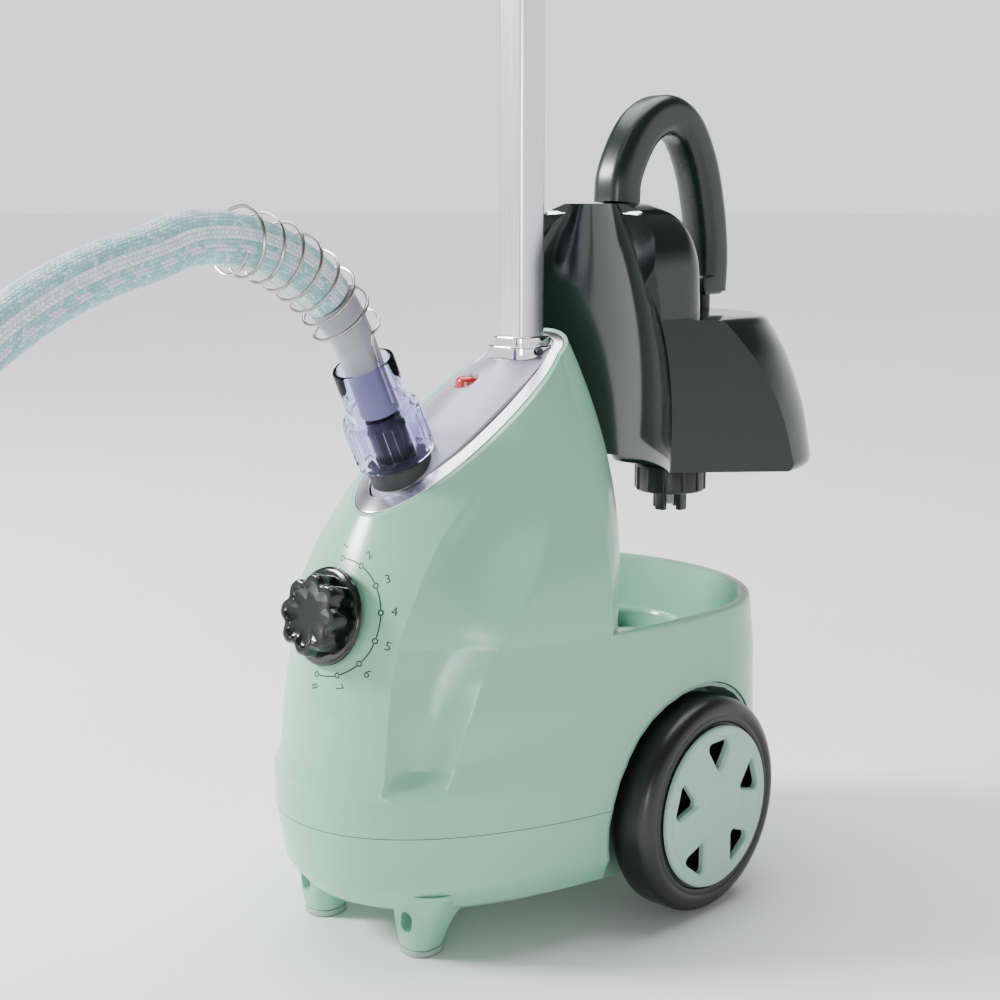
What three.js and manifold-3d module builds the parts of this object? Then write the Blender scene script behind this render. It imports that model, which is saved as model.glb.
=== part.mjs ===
// Upright garment steamer: a wheeled base with a lift-off water tank, a telescopic pole and a
// fabric-covered steam hose that ends in a hand-held steam head.
// Units are millimetres. +Z is up, -Y is the front (the knob side), +X is the right-hand wheel.
// Everything is drawn with the wheel axle at y = 0 and moved to the part's origin at the end.
import * as THREE from "three";
import { mergeVertices } from "three/addons/utils/BufferGeometryUtils.js";
import Module from "manifold-3d";

const wasm = await Module();
wasm.setup();

// ---------------------------------------------------------------- driving dimensions
const ORIGIN_Y = -185; // centre of the bounding box without the hose, from the wheel axle
const GAP = 0.4; // air between pieces that touch
const WALL = 3; // moulded wall

const BELLY_Z = 20; // underside of the base
const SEAM_Z = 70; // parting line between the base and the housing
const RIM_Z = 164; // rim of the tank bay
const BAY_FLOOR_Z = 130;
const REAR_CORNER_Y = -62; // where the tower's side turns into its back wall

const WHEEL_R = 60;
const TYRE_WIDTH = 28;
const WHEEL_FACE_X = 124; // outside of the hub cap
const AXLE_R = 4;
const WELL_R = 67; // recess around each wheel

const PANEL_FRONT = { y: -149, z: 227 };
const PANEL_SLOPE = 0.62;
const PANEL_ANGLE = Math.atan(PANEL_SLOPE);
const PANEL_REAR_Y = -5;

const POLE_Y = -27; // axis of the pole
const POLE_WALL = 1.2;
const POLE_TUBES = [
  { name: "pole_lower", size: 20, from: 262, to: 780 },
  { name: "pole_middle", size: 16.8, from: 300, to: 832 },
  { name: "pole_upper", size: 13.6, from: 316, to: 884 },
];
const CLAMP_H = 50;

const KNOB = { r: 25.5, gripR: 20, depth: 16 };
const HOSE_R = 13;
const NUT_AXIS = new THREE.Vector3(0, -0.42, 0.9075).normalize();
const NUT_FOOT = new THREE.Vector3(0, -120.5, 248);
const BEND = { y: -243.8, z: 266.8, r: 104, start: 24.8, cuffEnd: 44, end: 104 }; // degrees

// How far the lift-off tank stands out of its bay, as when it is carried away for filling.
const TANK_LIFT = new THREE.Vector3(0, 44, 70);

// ---------------------------------------------------------------- materials
const finish = (color, roughness, metalness, more = {}) =>
  new THREE.MeshStandardMaterial({ color, roughness, metalness, ...more });
const MINT = () => finish(0xbfdcd0, 0.25, 0);
const DARK_MINT = () => finish(0x7fa797, 0.4, 0);
const SILVER = () => finish(0xb9b9bf, 0.35, 0.6);
const CHROME = () => finish(0xe8e8ea, 0.08, 1);
const ALUMINIUM = () => finish(0xd0d1d8, 0.3, 1);
const BLACK = () => finish(0x111312, 0.3, 0);
const DARK_GREEN = () => finish(0x14241f, 0.3, 0);
const SMOKED = () => finish(0x1b2523, 0.12, 0);
const RUBBER = () => finish(0x1a1a1b, 0.8, 0);
const GREY = () => finish(0xc4c4c6, 0.6, 0);
const STEEL = () => finish(0xb8b8ba, 0.25, 1);
const BRASS = () => finish(0xb5923f, 0.3, 1);
const CAST = () => finish(0x8f9092, 0.6, 0.8);
const LENS = () => finish(0xb3261a, 0.15, 0);
const CLEAR = () => finish(0x8f92d8, 0.08, 0, { transparent: true, opacity: 0.45 });
const BRAID = () => finish(0x8cc4c4, 0.85, 0);

const model = new THREE.Group();
function add(name, geometry, material) {
  const mesh = new THREE.Mesh(geometry, material);
  mesh.name = name;
  model.add(mesh);
  return mesh;
}

// ---------------------------------------------------------------- solids and booleans
function toSolid(geometry) {
  const bare = geometry.index ? geometry.toNonIndexed() : geometry.clone();
  for (const name of Object.keys(bare.attributes)) {
    if (name !== "position") bare.deleteAttribute(name);
  }
  const merged = mergeVertices(bare, 1e-4);
  return new wasm.Manifold(
    new wasm.Mesh({
      numProp: 3,
      vertProperties: merged.attributes.position.array,
      triVerts: new Uint32Array(merged.index.array),
    }),
  );
}

function toGeometry(solid) {
  const mesh = solid.getMesh();
  return new THREE.BufferGeometry()
    .setAttribute("position", new THREE.BufferAttribute(mesh.vertProperties, 3))
    .setIndex(new THREE.BufferAttribute(mesh.triVerts, 1));
}

const join = (...parts) =>
  toGeometry(parts.map(toSolid).reduce((sum, part) => sum.add(part)));
const cut = (body, ...tools) =>
  toGeometry(tools.map(toSolid).reduce((left, tool) => left.subtract(tool), toSolid(body)));
const overlap = (a, b) => toGeometry(toSolid(a).intersect(toSolid(b)));

// Round pieces whose axis runs along X, Y or Z, or along any direction from a foot point.
function drum(radius, from, to, axis = "z", x = 0, y = 0, sides = 20, radiusTo = radius) {
  const g = new THREE.CylinderGeometry(radiusTo, radius, Math.abs(to - from), sides);
  if (axis === "z") return g.rotateX(Math.PI / 2).translate(x, y, (from + to) / 2);
  if (axis === "x") return g.rotateZ(-Math.PI / 2).translate((from + to) / 2, x, y);
  return g.translate(x, (from + to) / 2, y);
}

function drumAlong(foot, direction, radius, from, to, sides = 24, radiusTo = radius) {
  const turn = new THREE.Quaternion().setFromUnitVectors(new THREE.Vector3(0, 1, 0), direction);
  const middle = foot.clone().addScaledVector(direction, (from + to) / 2);
  return new THREE.CylinderGeometry(radiusTo, radius, to - from, sides)
    .applyQuaternion(turn)
    .translate(middle.x, middle.y, middle.z);
}

const box = (x0, x1, y0, y1, z0, z1) =>
  new THREE.BoxGeometry(Math.abs(x1 - x0), y1 - y0, z1 - z0).translate(
    (x0 + x1) / 2,
    (y0 + y1) / 2,
    (z0 + z1) / 2,
  );

// A rounded rectangle of the given width and depth, centred on the origin.
function roundedRect(width, depth, radius) {
  const shape = new THREE.Shape();
  const [w, d] = [width / 2 - radius, depth / 2 - radius];
  shape.absarc(w, d, radius, 0, Math.PI / 2);
  shape.absarc(-w, d, radius, Math.PI / 2, Math.PI);
  shape.absarc(-w, -d, radius, Math.PI, 1.5 * Math.PI);
  shape.absarc(w, -d, radius, 1.5 * Math.PI, 2 * Math.PI);
  return shape;
}

function prism(shape, from, to, curveSegments = 3) {
  const g = new THREE.ExtrudeGeometry(shape, {
    depth: to - from,
    bevelEnabled: false,
    curveSegments,
  });
  return g.translate(0, 0, from);
}

// A solid of constant section that follows a curve.
function sweep(shape, points, steps, curveSegments = 3) {
  return new THREE.ExtrudeGeometry(shape, {
    steps,
    bevelEnabled: false,
    curveSegments,
    extrudePath: new THREE.CatmullRomCurve3(points, false, "centripetal"),
  });
}

// Skin through closed rings of equal length, with flat ends. Rings go anticlockwise seen from
// above and are listed from the lowest to the highest. Two neighbouring rings may share points.
// A last ring that has closed up to a line needs no cap.
function loft(rings, capTop = true) {
  const count = rings[0].length;
  const points = rings.flat();
  const faces = [];
  for (let k = 0; k + 1 < rings.length; k++) {
    for (let i = 0; i < count; i++) {
      const j = (i + 1) % count;
      const [a, b, c, d] = [k * count + i, k * count + j, (k + 1) * count + j, (k + 1) * count + i];
      faces.push([a, b, c], [a, c, d]);
    }
  }
  const capOf = (ring) =>
    THREE.ShapeUtils.triangulateShape(ring.map((p) => new THREE.Vector2(p.x, p.y)), []);
  for (const [a, b, c] of capOf(rings[0])) faces.push([a, c, b]);
  const top = (rings.length - 1) * count;
  if (capTop) {
    for (const [a, b, c] of capOf(rings[rings.length - 1])) faces.push([top + a, top + b, top + c]);
  }
  const corners = [];
  for (const face of faces) {
    const [a, b, c] = face.map((i) => points[i]);
    const same = a.distanceTo(b) < 1e-3 || b.distanceTo(c) < 1e-3 || a.distanceTo(c) < 1e-3;
    if (!same) corners.push(...a.toArray(), ...b.toArray(), ...c.toArray());
  }
  const g = new THREE.BufferGeometry();
  return g.setAttribute("position", new THREE.Float32BufferAttribute(corners, 3));
}

// ---------------------------------------------------------------- the housing's form
// Half-outline of a level, from the nose (x = 0) back to the rear corner, as a superellipse.
// A level is { noseY, noseZ, cornerX, cornerY, wideY, power, backY, backZ }, on a plane that
// rises from the nose to the back.
const FRONT_STEPS = 10;
const REAR_STEPS = 9;
const NOSE_POWER = 2.1;

const heightOn = (level, y) =>
  level.noseZ + ((level.backZ - level.noseZ) * (y - level.noseY)) / (level.backY - level.noseY);

function noseHalf(level, inset = 0) {
  const { wideY, cornerY, cornerX } = level;
  const noseY = level.noseY + inset;
  const p = 2 / NOSE_POWER;
  const reach = cornerY <= wideY ? wideY - noseY : level.backY - wideY;
  const share = Math.abs(cornerY - wideY) / reach;
  const last = Math.acos(Math.min(1, share ** (1 / p)));
  const angle = cornerY <= wideY ? last : Math.PI - last;
  const half = (cornerX - inset) / Math.sin(angle) ** p;
  const points = [];
  for (let i = 0; i <= FRONT_STEPS; i++) {
    const a = (angle * i) / FRONT_STEPS;
    const c = Math.cos(a);
    const side = c >= 0 ? wideY - noseY : level.backY - wideY;
    const y = wideY - Math.sign(c) * side * Math.abs(c) ** p;
    points.push(new THREE.Vector3(half * Math.sin(a) ** p, y, heightOn(level, y)));
  }
  return points;
}

// The body's own rear, behind the corner: widest at wideY and round at the back.
function rearHalf(level, inset = 0) {
  const { wideY, cornerY } = level;
  const p = 2 / NOSE_POWER;
  const noseReach = wideY - level.noseY - inset;
  const start = Math.acos(((wideY - cornerY) / noseReach) ** (1 / p));
  const half = (level.cornerX - inset) / Math.sin(start) ** p;
  const backReach = level.backY - inset - wideY;
  const points = [];
  for (let i = 1; i < REAR_STEPS + 1; i++) {
    const a = start + ((Math.PI - start) * i) / REAR_STEPS;
    const c = Math.cos(a);
    const y = wideY - Math.sign(c) * (c >= 0 ? noseReach : backReach) * Math.abs(c) ** p;
    points.push(new THREE.Vector3(i === REAR_STEPS ? 0 : half * Math.sin(a) ** p, y, level.noseZ));
  }
  return points;
}

// The tower's convex back wall, from the corner to the middle.
function backHalf(level, inset = 0, bulge = 2) {
  const points = [];
  for (let i = 1; i < REAR_STEPS + 1; i++) {
    const a = (Math.PI / 2) * (i / REAR_STEPS);
    const x = (level.cornerX - inset) * Math.cos(a);
    const depth = level.backY - inset - level.cornerY;
    const y = level.cornerY + depth * Math.sin(a) ** bulge;
    points.push(new THREE.Vector3(i === REAR_STEPS ? 0 : x, y, heightOn(level, y)));
  }
  return points;
}

// A full ring, anticlockwise from the nose over the +X side.
function ring(front, rear) {
  const right = [...front, ...rear];
  const left = right
    .slice(1, -1)
    .reverse()
    .map((p) => new THREE.Vector3(-p.x, p.y, p.z));
  return [...right, ...left];
}

// Levels of the base and the lower housing, all horizontal: [z, nose y, corner x, rear y].
const LOWER = [
  [BELLY_Z, -160, 74, 90],
  [27, -174, 88, 104],
  [40, -185, 97, 112],
  [SEAM_Z, -190.5, 101.5, 116],
  [93, -190.5, 102.5, 117.5],
  [99, -186.5, 100, 117],
  [130, -183, 100, 118.5],
  [RIM_Z, -176, 97, 114],
];
const lowerLevel = ([z, noseY, cornerX, backY]) => ({
  noseY,
  noseZ: z,
  cornerX,
  cornerY: REAR_CORNER_Y,
  wideY: 20,
  backY,
  backZ: z,
});
const levelAt = (z) => {
  const k = Math.max(1, LOWER.findIndex((row) => row[0] >= z));
  const [low, high] = [LOWER[k - 1], LOWER[k]];
  const t = (z - low[0]) / (high[0] - low[0]);
  return lowerLevel(low.map((value, i) => value + t * (high[i] - value)));
};

// Levels of the tower, from the rim (0) to the slanted top (1).
function towerLevel(u) {
  const curve = u ** 2.2;
  const mix = (a, b, t = u) => a + (b - a) * t;
  const noseY = mix(-176, PANEL_FRONT.y, u ** 1.35);
  const noseZ = mix(RIM_Z, PANEL_FRONT.z);
  const backY = mix(15, PANEL_REAR_Y, curve);
  const topZ = PANEL_FRONT.z + PANEL_SLOPE * (PANEL_REAR_Y - PANEL_FRONT.y);
  return {
    noseY,
    noseZ,
    cornerX: mix(97, 27, curve),
    cornerY: mix(REAR_CORNER_Y, -24, curve),
    wideY: mix(20, -74, u ** 0.8),
    backY,
    backZ: mix(RIM_Z, topZ),
    bulge: mix(2, 1),
  };
}
const TOWER_STEPS = [0, 0.2, 0.4, 0.6, 0.8, 0.92, 1];
const towerRing = (u, inset = 0) => {
  const level = towerLevel(u);
  return ring(noseHalf(level, inset), backHalf(level, inset, level.bulge));
};
const lowerRing = (z, inset = 0) => {
  const level = levelAt(z);
  return ring(noseHalf(level, inset), rearHalf(level, inset));
};
const atHeight = (points, z) => points.map((p) => new THREE.Vector3(p.x, p.y, z));


const PANEL_NORMAL = new THREE.Vector3(0, -Math.sin(PANEL_ANGLE), Math.cos(PANEL_ANGLE));
const panelRing = (inset, lift) =>
  towerRing(1, inset).map((p) => p.clone().addScaledVector(PANEL_NORMAL, lift));

// The panel is domed: highest on the middle line, level with its rim at the edge.
const DOME = 14;
const domeAt = (y) => {
  const along = (y - PANEL_FRONT.y) / (PANEL_REAR_Y - PANEL_FRONT.y);
  return DOME * Math.sin(Math.PI * Math.min(1, Math.max(0, along))) ** 1.4;
};
const panelZ = (y) => PANEL_FRONT.z + PANEL_SLOPE * (y - PANEL_FRONT.y) + domeAt(y);
function dome(inset, lift, floor) {
  const rim = towerRing(1, inset);
  const domed = [1, 0.8, 0.5, 0].map((share) =>
    rim.map((p) => new THREE.Vector3(p.x * share, p.y, p.z + lift + domeAt(p.y) * (1 - share ** 2))),
  );
  return loft([rim.map((p) => new THREE.Vector3(p.x, p.y, p.z + floor)), ...domed], false);
}

const wheelWell = (side) => drum(WELL_R, 82 * side, 150 * side, "x", 0, WHEEL_R, 32);
const bothWells = () => [wheelWell(1), wheelWell(-1)];

// The pole's socket goes down through the panel into the housing.
const SOCKET = { size: 27, flange: [35, 33, 12], flangeTop: 308.5, top: 313.5 };
function socketBody(grow = 0) {
  const size = SOCKET.size + grow;
  return prism(roundedRect(size, size, 8), 256, SOCKET.top).translate(0, POLE_Y, 0);
}

// ---------------------------------------------------------------- base
const SCREWS = [
  [48, -105],
  [-48, -105],
  [55, 72],
  [-55, 72],
];
const FOOT = { x: 38, y: -146, padZ: 3 };

function footLeg(side) {
  const rect = (w, d, z, y = FOOT.y) =>
    roundedRect(w, d, Math.min(w, d) * 0.42)
      .getPoints(4)
      .slice(0, -1)
      .map((p) => new THREE.Vector3(p.x + FOOT.x * side, p.y + y, z));
  return loft([
    rect(20, 21, FOOT.padZ + GAP),
    rect(24, 27, 12, FOOT.y + 1),
    rect(32, 38, 24, FOOT.y + 6),
    rect(34, 40, 32, FOOT.y + 10),
  ]);
}

function baseShell() {
  const outside = loft([BELLY_Z, 27, 40, SEAM_Z - GAP / 2].map((z) => lowerRing(z)));
  const inside = loft([
    atHeight(lowerRing(BELLY_Z, WALL), BELLY_Z + WALL),
    atHeight(lowerRing(27, WALL), 30),
    atHeight(lowerRing(40, WALL), 43),
    atHeight(lowerRing(SEAM_Z, WALL), SEAM_Z + 1),
  ]);
  const screwHoles = SCREWS.map(([x, y]) => drum(2.6, BELLY_Z - 2, BELLY_Z + 6, "z", x, y, 12));
  const glandHole = drum(7.6, 90, 130, "y", 0, 0, 16).translate(0, 0, GLAND_Z);
  const tray = cut(outside, inside, ...bothWells(), ...screwHoles, glandHole);
  return join(tray, footLeg(1), footLeg(-1));
}

const GLAND_Z = 52;
add("base_shell", baseShell(), MINT());
for (const [name, side] of [["right", 1], ["left", -1]]) {
  const pad = prism(roundedRect(21, 22, 9), 0, FOOT.padZ, 4).translate(FOOT.x * side, FOOT.y, 0);
  add(`foot_pad_${name}`, pad, RUBBER());
}
SCREWS.forEach(([x, y], i) => {
  const head = drum(4.5, BELLY_Z - GAP - 2.5, BELLY_Z - GAP, "z", x, y, 12);
  const shank = drum(2, BELLY_Z - 1, BELLY_Z + 14, "z", x, y, 10);
  add(`base_screw_${i + 1}`, join(head, shank), STEEL());
});
const glandRing = cut(
  join(drum(7.2, 108, 117, "y", 0, 0, 16), drum(10, 117, 123, "y", 0, 0, 16)),
  drum(4, 100, 130, "y", 0, 0, 12),
).translate(0, 0, GLAND_Z);
add("cord_gland", glandRing, BLACK());

// ---------------------------------------------------------------- housing
const VALVE_Y = 68;
const VALVE_WELL = { r: 30, z: 121 };

function towerSolid(inset, topInset, downTo) {
  const steps = TOWER_STEPS.slice(0, -1).map((u) => towerRing(u, inset));
  const over = towerRing(1, topInset).map((p) => p.clone().addScaledVector(PANEL_NORMAL, 6));
  return loft([atHeight(towerRing(0, inset), downTo), ...steps, towerRing(1, topInset), over]);
}

function mainHousing() {
  const outside = loft([
    ...[SEAM_Z + GAP / 2, 93, 99, 130, RIM_Z].map((z) => lowerRing(z)),
    ...TOWER_STEPS.map((u) => towerRing(u)),
  ]);
  const roomBelow = loft([
    atHeight(lowerRing(SEAM_Z, WALL), SEAM_Z - 2),
    atHeight(lowerRing(99, WALL), 99),
    atHeight(lowerRing(BAY_FLOOR_Z - 3, WALL), BAY_FLOOR_Z - 3.5),
  ]);
  const roomInTower = towerSolid(4, 8, BAY_FLOOR_Z - 10);
  const bay = cut(
    loft([atHeight(lowerRing(RIM_Z, 9), BAY_FLOOR_Z), atHeight(lowerRing(RIM_Z, 7), RIM_Z + 6)]),
    towerSolid(0, 0, BAY_FLOOR_Z - 10),
  );
  const wellCup = drum(VALVE_WELL.r + 3, VALVE_WELL.z - 3, BAY_FLOOR_Z - 1, "z", 0, VALVE_Y);
  const wellRoom = drum(VALVE_WELL.r, VALVE_WELL.z, BAY_FLOOR_Z + 2, "z", 0, VALVE_Y);
  const seatHole = drum(10.4, VALVE_WELL.z - 6, VALVE_WELL.z + 2, "z", 0, VALVE_Y, 16);
  const panelSeat = loft([panelRing(2.2, -3.6), panelRing(2.2, 6)]);
  const shaftHole = drumAlong(KNOB_FOOT, KNOB_AXIS, 4.6, -12, 8, 12);
  const shell = cut(outside, roomBelow, roomInTower, bay, ...bothWells());
  return cut(join(shell, wellCup), wellRoom, seatHole, panelSeat, shaftHole, socketBody(0.8));
}

const KNOB_AXIS = new THREE.Vector3(0, -1, 0.25).normalize();
const KNOB_FOOT = new THREE.Vector3(0, -172.6, 178);
add("main_housing", mainHousing(), MINT());

// Cup-shaped liners close the wheel wells towards the inside.
function wheelArch(side) {
  const cup = cut(
    drum(WELL_R - GAP, 82.6 * side, 150 * side, "x", 0, WHEEL_R, 32),
    drum(WELL_R - 2.6, 85 * side, 151 * side, "x", 0, WHEEL_R, 32),
    drum(AXLE_R + GAP, 80 * side, 90 * side, "x", 0, WHEEL_R, 12),
  );
  const body = loft([
    ...[BELLY_Z, 27, 40, SEAM_Z, 93].map((z) => lowerRing(z, 1.5)),
    lowerRing(BAY_FLOOR_Z + 2, 1.5),
  ]);
  return overlap(cup, body);
}

// ---------------------------------------------------------------- wheels
const spun = (profile, sides = 30) =>
  new THREE.LatheGeometry(profile.map(([r, x]) => new THREE.Vector2(r, x)), sides).rotateZ(
    -Math.PI / 2,
  );
const HUB_R = 45;
const TYRE_IN_X = WHEEL_FACE_X - 4 - TYRE_WIDTH;
const TYRE_OUT_X = WHEEL_FACE_X - 4;

function tyre() {
  const [a, b] = [TYRE_IN_X, TYRE_OUT_X];
  return spun([
    [HUB_R + 1.6, a + 2],
    [WHEEL_R - 7, a],
    [WHEEL_R - 2, a + 3],
    [WHEEL_R, a + 9],
    [WHEEL_R, b - 9],
    [WHEEL_R - 2, b - 3],
    [WHEEL_R - 7, b],
    [HUB_R + 1.6, b - 1],
    [HUB_R + 1.6, a + 2],
  ]);
}

function wheelCore() {
  const bore = AXLE_R + 0.3;
  const [back, front] = [TYRE_IN_X + 1, TYRE_OUT_X - 2];
  return spun([
    [bore, back],
    [13, back],
    [13, front - 8],
    [HUB_R - 3, front - 8],
    [HUB_R - 3, back + 1],
    [HUB_R + 1.2, back + 1],
    [HUB_R + 1.2, front],
    [HUB_R - 3, front],
    [HUB_R - 3, front - 5],
    [13, front - 5],
    [10, front - 4],
    [bore, front - 4],
    [bore, back],
  ]);
}

// Five rounded-triangle windows round a flat centre.
function hubCap() {
  const disc = spun([
    [0, TYRE_OUT_X - 1.6],
    [HUB_R, TYRE_OUT_X - 1.6],
    [HUB_R, TYRE_OUT_X + 0.6],
    [HUB_R - 5, WHEEL_FACE_X - 0.8],
    [17, WHEEL_FACE_X - 0.8],
    [15, WHEEL_FACE_X],
    [0, WHEEL_FACE_X],
  ]);
  const windows = [0, 1, 2, 3, 4].map((i) => {
    const shape = new THREE.Shape();
    shape.moveTo(-8.5, 36);
    shape.quadraticCurveTo(0, 39, 8.5, 36);
    shape.lineTo(3, 22.5);
    shape.quadraticCurveTo(0, 20.5, -3, 22.5);
    shape.closePath();
    return prism(shape, -20, 20, 2)
      .rotateZ((i * 2 * Math.PI) / 5)
      .rotateY(Math.PI / 2)
      .translate(WHEEL_FACE_X, 0, 0);
  });
  return cut(disc, ...windows);
}

for (const [name, side] of [["right", 1], ["left", -1]]) {
  const turn = (g) => (side > 0 ? g : g.rotateZ(Math.PI)).translate(0, 0, WHEEL_R);
  add(`tyre_${name}`, turn(tyre()), RUBBER());
  add(`wheel_core_${name}`, turn(wheelCore()), BLACK());
  add(`hub_cap_${name}`, turn(hubCap()), MINT());
  add(`wheel_arch_${name}`, wheelArch(side), DARK_MINT());
  const cap = turn(drum(7, TYRE_OUT_X - 5.6, TYRE_OUT_X - 3, "x", 0, 0, 16));
  add(`axle_cap_${name}`, cap, STEEL());
  const bracket = cut(
    box(64 * side, 76 * side, -14, 14, BELLY_Z + WALL + GAP, WHEEL_R + 9),
    drum(AXLE_R + 0.3, 60 * side, 80 * side, "x", 0, WHEEL_R, 16),
  );
  add(`axle_bracket_${name}`, bracket, BLACK());
}
add("axle", drum(AXLE_R, -(TYRE_OUT_X - 6), TYRE_OUT_X - 6, "x", 0, WHEEL_R, 16), STEEL());

// ---------------------------------------------------------------- control knob and switch
// Turns a piece drawn along +Z so that it stands on a foot point along an axis.
function stand(geometry, foot, axis) {
  const turn = new THREE.Quaternion().setFromUnitVectors(new THREE.Vector3(0, 0, 1), axis);
  return geometry.clone().applyQuaternion(turn).translate(foot.x, foot.y, foot.z);
}

function lobedShape(radius, lobes, wave, steps) {
  const points = Array.from({ length: steps }, (_, i) => {
    const a = (i * 2 * Math.PI) / steps;
    const r = radius + wave * Math.cos(lobes * a);
    return new THREE.Vector2(r * Math.cos(a), r * Math.sin(a));
  });
  return new THREE.Shape(points);
}

const knob = join(
  drum(KNOB.r, 1, 4, "z", 0, 0, 36, KNOB.r - 1.5),
  prism(lobedShape(KNOB.gripR, 8, 1.3, 48), 3, KNOB.depth),
);
const shaftRoom = drum(4.2, 0, KNOB.depth - 4, "z", 0, 0, 12);
add("control_knob", stand(cut(knob, shaftRoom), KNOB_FOOT, KNOB_AXIS), BLACK());
add("knob_shaft", drumAlong(KNOB_FOOT, KNOB_AXIS, 3.8, -18, KNOB.depth - 4.4, 12), STEEL());
const switchCase = cut(
  drumAlong(KNOB_FOOT, KNOB_AXIS, 16, -26, -7, 20),
  drumAlong(KNOB_FOOT, KNOB_AXIS, 4.2, -20, 0, 12),
);
add("control_switch", switchCase, BLACK());

// ---------------------------------------------------------------- panel
const innerRim = (inset, lift) =>
  panelRing(inset, lift).map((p) => {
    const nearTip = Math.max(0, 1 - (p.y - PANEL_FRONT.y) / 45);
    return new THREE.Vector3(p.x * (1 - 0.12 * nearTip), p.y + 4 * nearTip, p.z + 2.5 * nearTip);
  });
const trim = cut(
  loft([panelRing(2.6, -3.2), panelRing(2.6, 0.4), innerRim(7, 2.4)]),
  loft([innerRim(7.4, -8), innerRim(7.4, 6)]),
  socketBody(0.8),
);
add("panel_trim", trim, CHROME());

const outletHole = (r) => drumAlong(NUT_FOOT, NUT_AXIS, r, -25, 20, 20);
const LENS_AT = { x: -4, y: -67, r: 6.4 };
const lensHole = (r) =>
  drum(r, panelZ(LENS_AT.y) - 30, panelZ(LENS_AT.y) + 20, "z", LENS_AT.x, LENS_AT.y, 20);
const panelPlate = cut(
  overlap(dome(2.6, 0, -3.2), loft([innerRim(7.8, -12), innerRim(7.8, 40)])),
  dome(10.6, -2.8, -20),
  outletHole(10.6),
  lensHole(LENS_AT.r + GAP),
  socketBody(0.8),
);
add("top_panel", panelPlate, SILVER());
const lens = join(
  drum(LENS_AT.r, panelZ(LENS_AT.y) - 6, panelZ(LENS_AT.y) - 1, "z", LENS_AT.x, LENS_AT.y, 20),
  drum(LENS_AT.r, panelZ(LENS_AT.y) - 1, panelZ(LENS_AT.y) + 1.8, "z", LENS_AT.x, LENS_AT.y, 20, 4),
);
add("indicator_lens", lens, LENS());

// ---------------------------------------------------------------- pole
const poleRect = (size) => roundedRect(size, size, size * 0.24);
const atPole = (g) => g.translate(0, POLE_Y, 0);
const [lower, middle, upper] = POLE_TUBES;
const tubeRoom = (size, from, to) => atPole(prism(poleRect(size), from, to));

const flange = cut(
  atPole(prism(roundedRect(...SOCKET.flange), 280, SOCKET.flangeTop, 3)),
  dome(2.6, 0.4, -60),
);
const socket = cut(
  join(socketBody(), flange),
  tubeRoom(lower.size + 0.8, lower.from - GAP, SOCKET.top + 1),
);
add("pole_socket", socket, CHROME());
add("socket_screw", drum(2.2, 17.9, 20, "x", POLE_Y - 6, 305.8, 12), STEEL());

for (const { name, size, from, to } of POLE_TUBES) {
  const bore = tubeRoom(size - 2 * POLE_WALL, from - 1, to + 1);
  add(name, cut(tubeRoom(size, from, to), bore), ALUMINIUM());
}

// A flip-lever clamp sits on the top of a tube and grips the thinner one that runs through it.
const PIVOT = { x: 21.2, drop: 15, r: 1.6 };
function clamp(tube, inner, topZ) {
  const bottomZ = tube.to - 20;
  const pivotZ = topZ - PIVOT.drop;
  const ears = [-1, 1].map((s) =>
    box(15, 25, POLE_Y + 9.6 * s - 1.6, POLE_Y + 9.6 * s + 1.6, pivotZ - 4, pivotZ + 4),
  );
  const pinHole = drum(PIVOT.r + 0.3, POLE_Y - 20, POLE_Y + 20, "y", PIVOT.x, pivotZ, 12);
  return cut(
    join(atPole(prism(roundedRect(33, 31, 7), bottomZ, topZ)), ...ears),
    tubeRoom(tube.size + 0.8, bottomZ - 1, tube.to + GAP),
    tubeRoom(inner.size + 0.8, bottomZ - 1, topZ + 1),
    pinHole,
  );
}
function clampLever(topZ) {
  const pivotZ = topZ - PIVOT.drop;
  return join(
    drum(3.6, POLE_Y - 7.4, POLE_Y + 7.4, "y", PIVOT.x, pivotZ, 16),
    drum(PIVOT.r, POLE_Y - 11, POLE_Y + 11, "y", PIVOT.x, pivotZ, 10),
    box(PIVOT.x - 2.6, PIVOT.x + 3.6, POLE_Y - 7.4, POLE_Y + 7.4, pivotZ - 30, pivotZ),
  );
}
const CLAMP_TOPS = [lower.to + 26, middle.to + 26];
add("clamp_lower", clamp(lower, middle, CLAMP_TOPS[0]), GREY());
add("clamp_upper", clamp(middle, upper, CLAMP_TOPS[1]), GREY());
add("clamp_lever_lower", clampLever(CLAMP_TOPS[0]), GREY());
add("clamp_lever_upper", clampLever(CLAMP_TOPS[1]), GREY());

// Holder at the top: a fork for the steam head and two hanger arms.
const HOLDER = { from: 864, to: 904, armX: 23, armZ: 886 };
function headHolder() {
  const fork = new THREE.Shape([
    new THREE.Vector2(-24, 0),
    new THREE.Vector2(24, 0),
    new THREE.Vector2(30, 34),
    new THREE.Vector2(23, 34),
    new THREE.Vector2(17, 10),
    new THREE.Vector2(-17, 10),
    new THREE.Vector2(-23, 34),
    new THREE.Vector2(-30, 34),
  ]);
  const prongs = prism(fork, 0, 12)
    .rotateX(Math.PI / 2)
    .translate(0, POLE_Y - 12, HOLDER.to - 12);
  const lugs = [-1, 1].flatMap((s) =>
    [-1, 1].map((t) =>
      box(15 * s, 28 * s, POLE_Y + 7 * t - 1.8, POLE_Y + 7 * t + 1.8, HOLDER.armZ - 5, HOLDER.armZ + 5),
    ),
  );
  const pins = [-1, 1].map((s) =>
    drum(2.3, POLE_Y - 20, POLE_Y + 20, "y", HOLDER.armX * s, HOLDER.armZ, 12),
  );
  return cut(
    join(atPole(prism(roundedRect(36, 30, 8), HOLDER.from, HOLDER.to)), prongs, ...lugs),
    tubeRoom(upper.size + 0.8, HOLDER.from - 1, upper.to + GAP),
    ...pins,
  );
}
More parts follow.
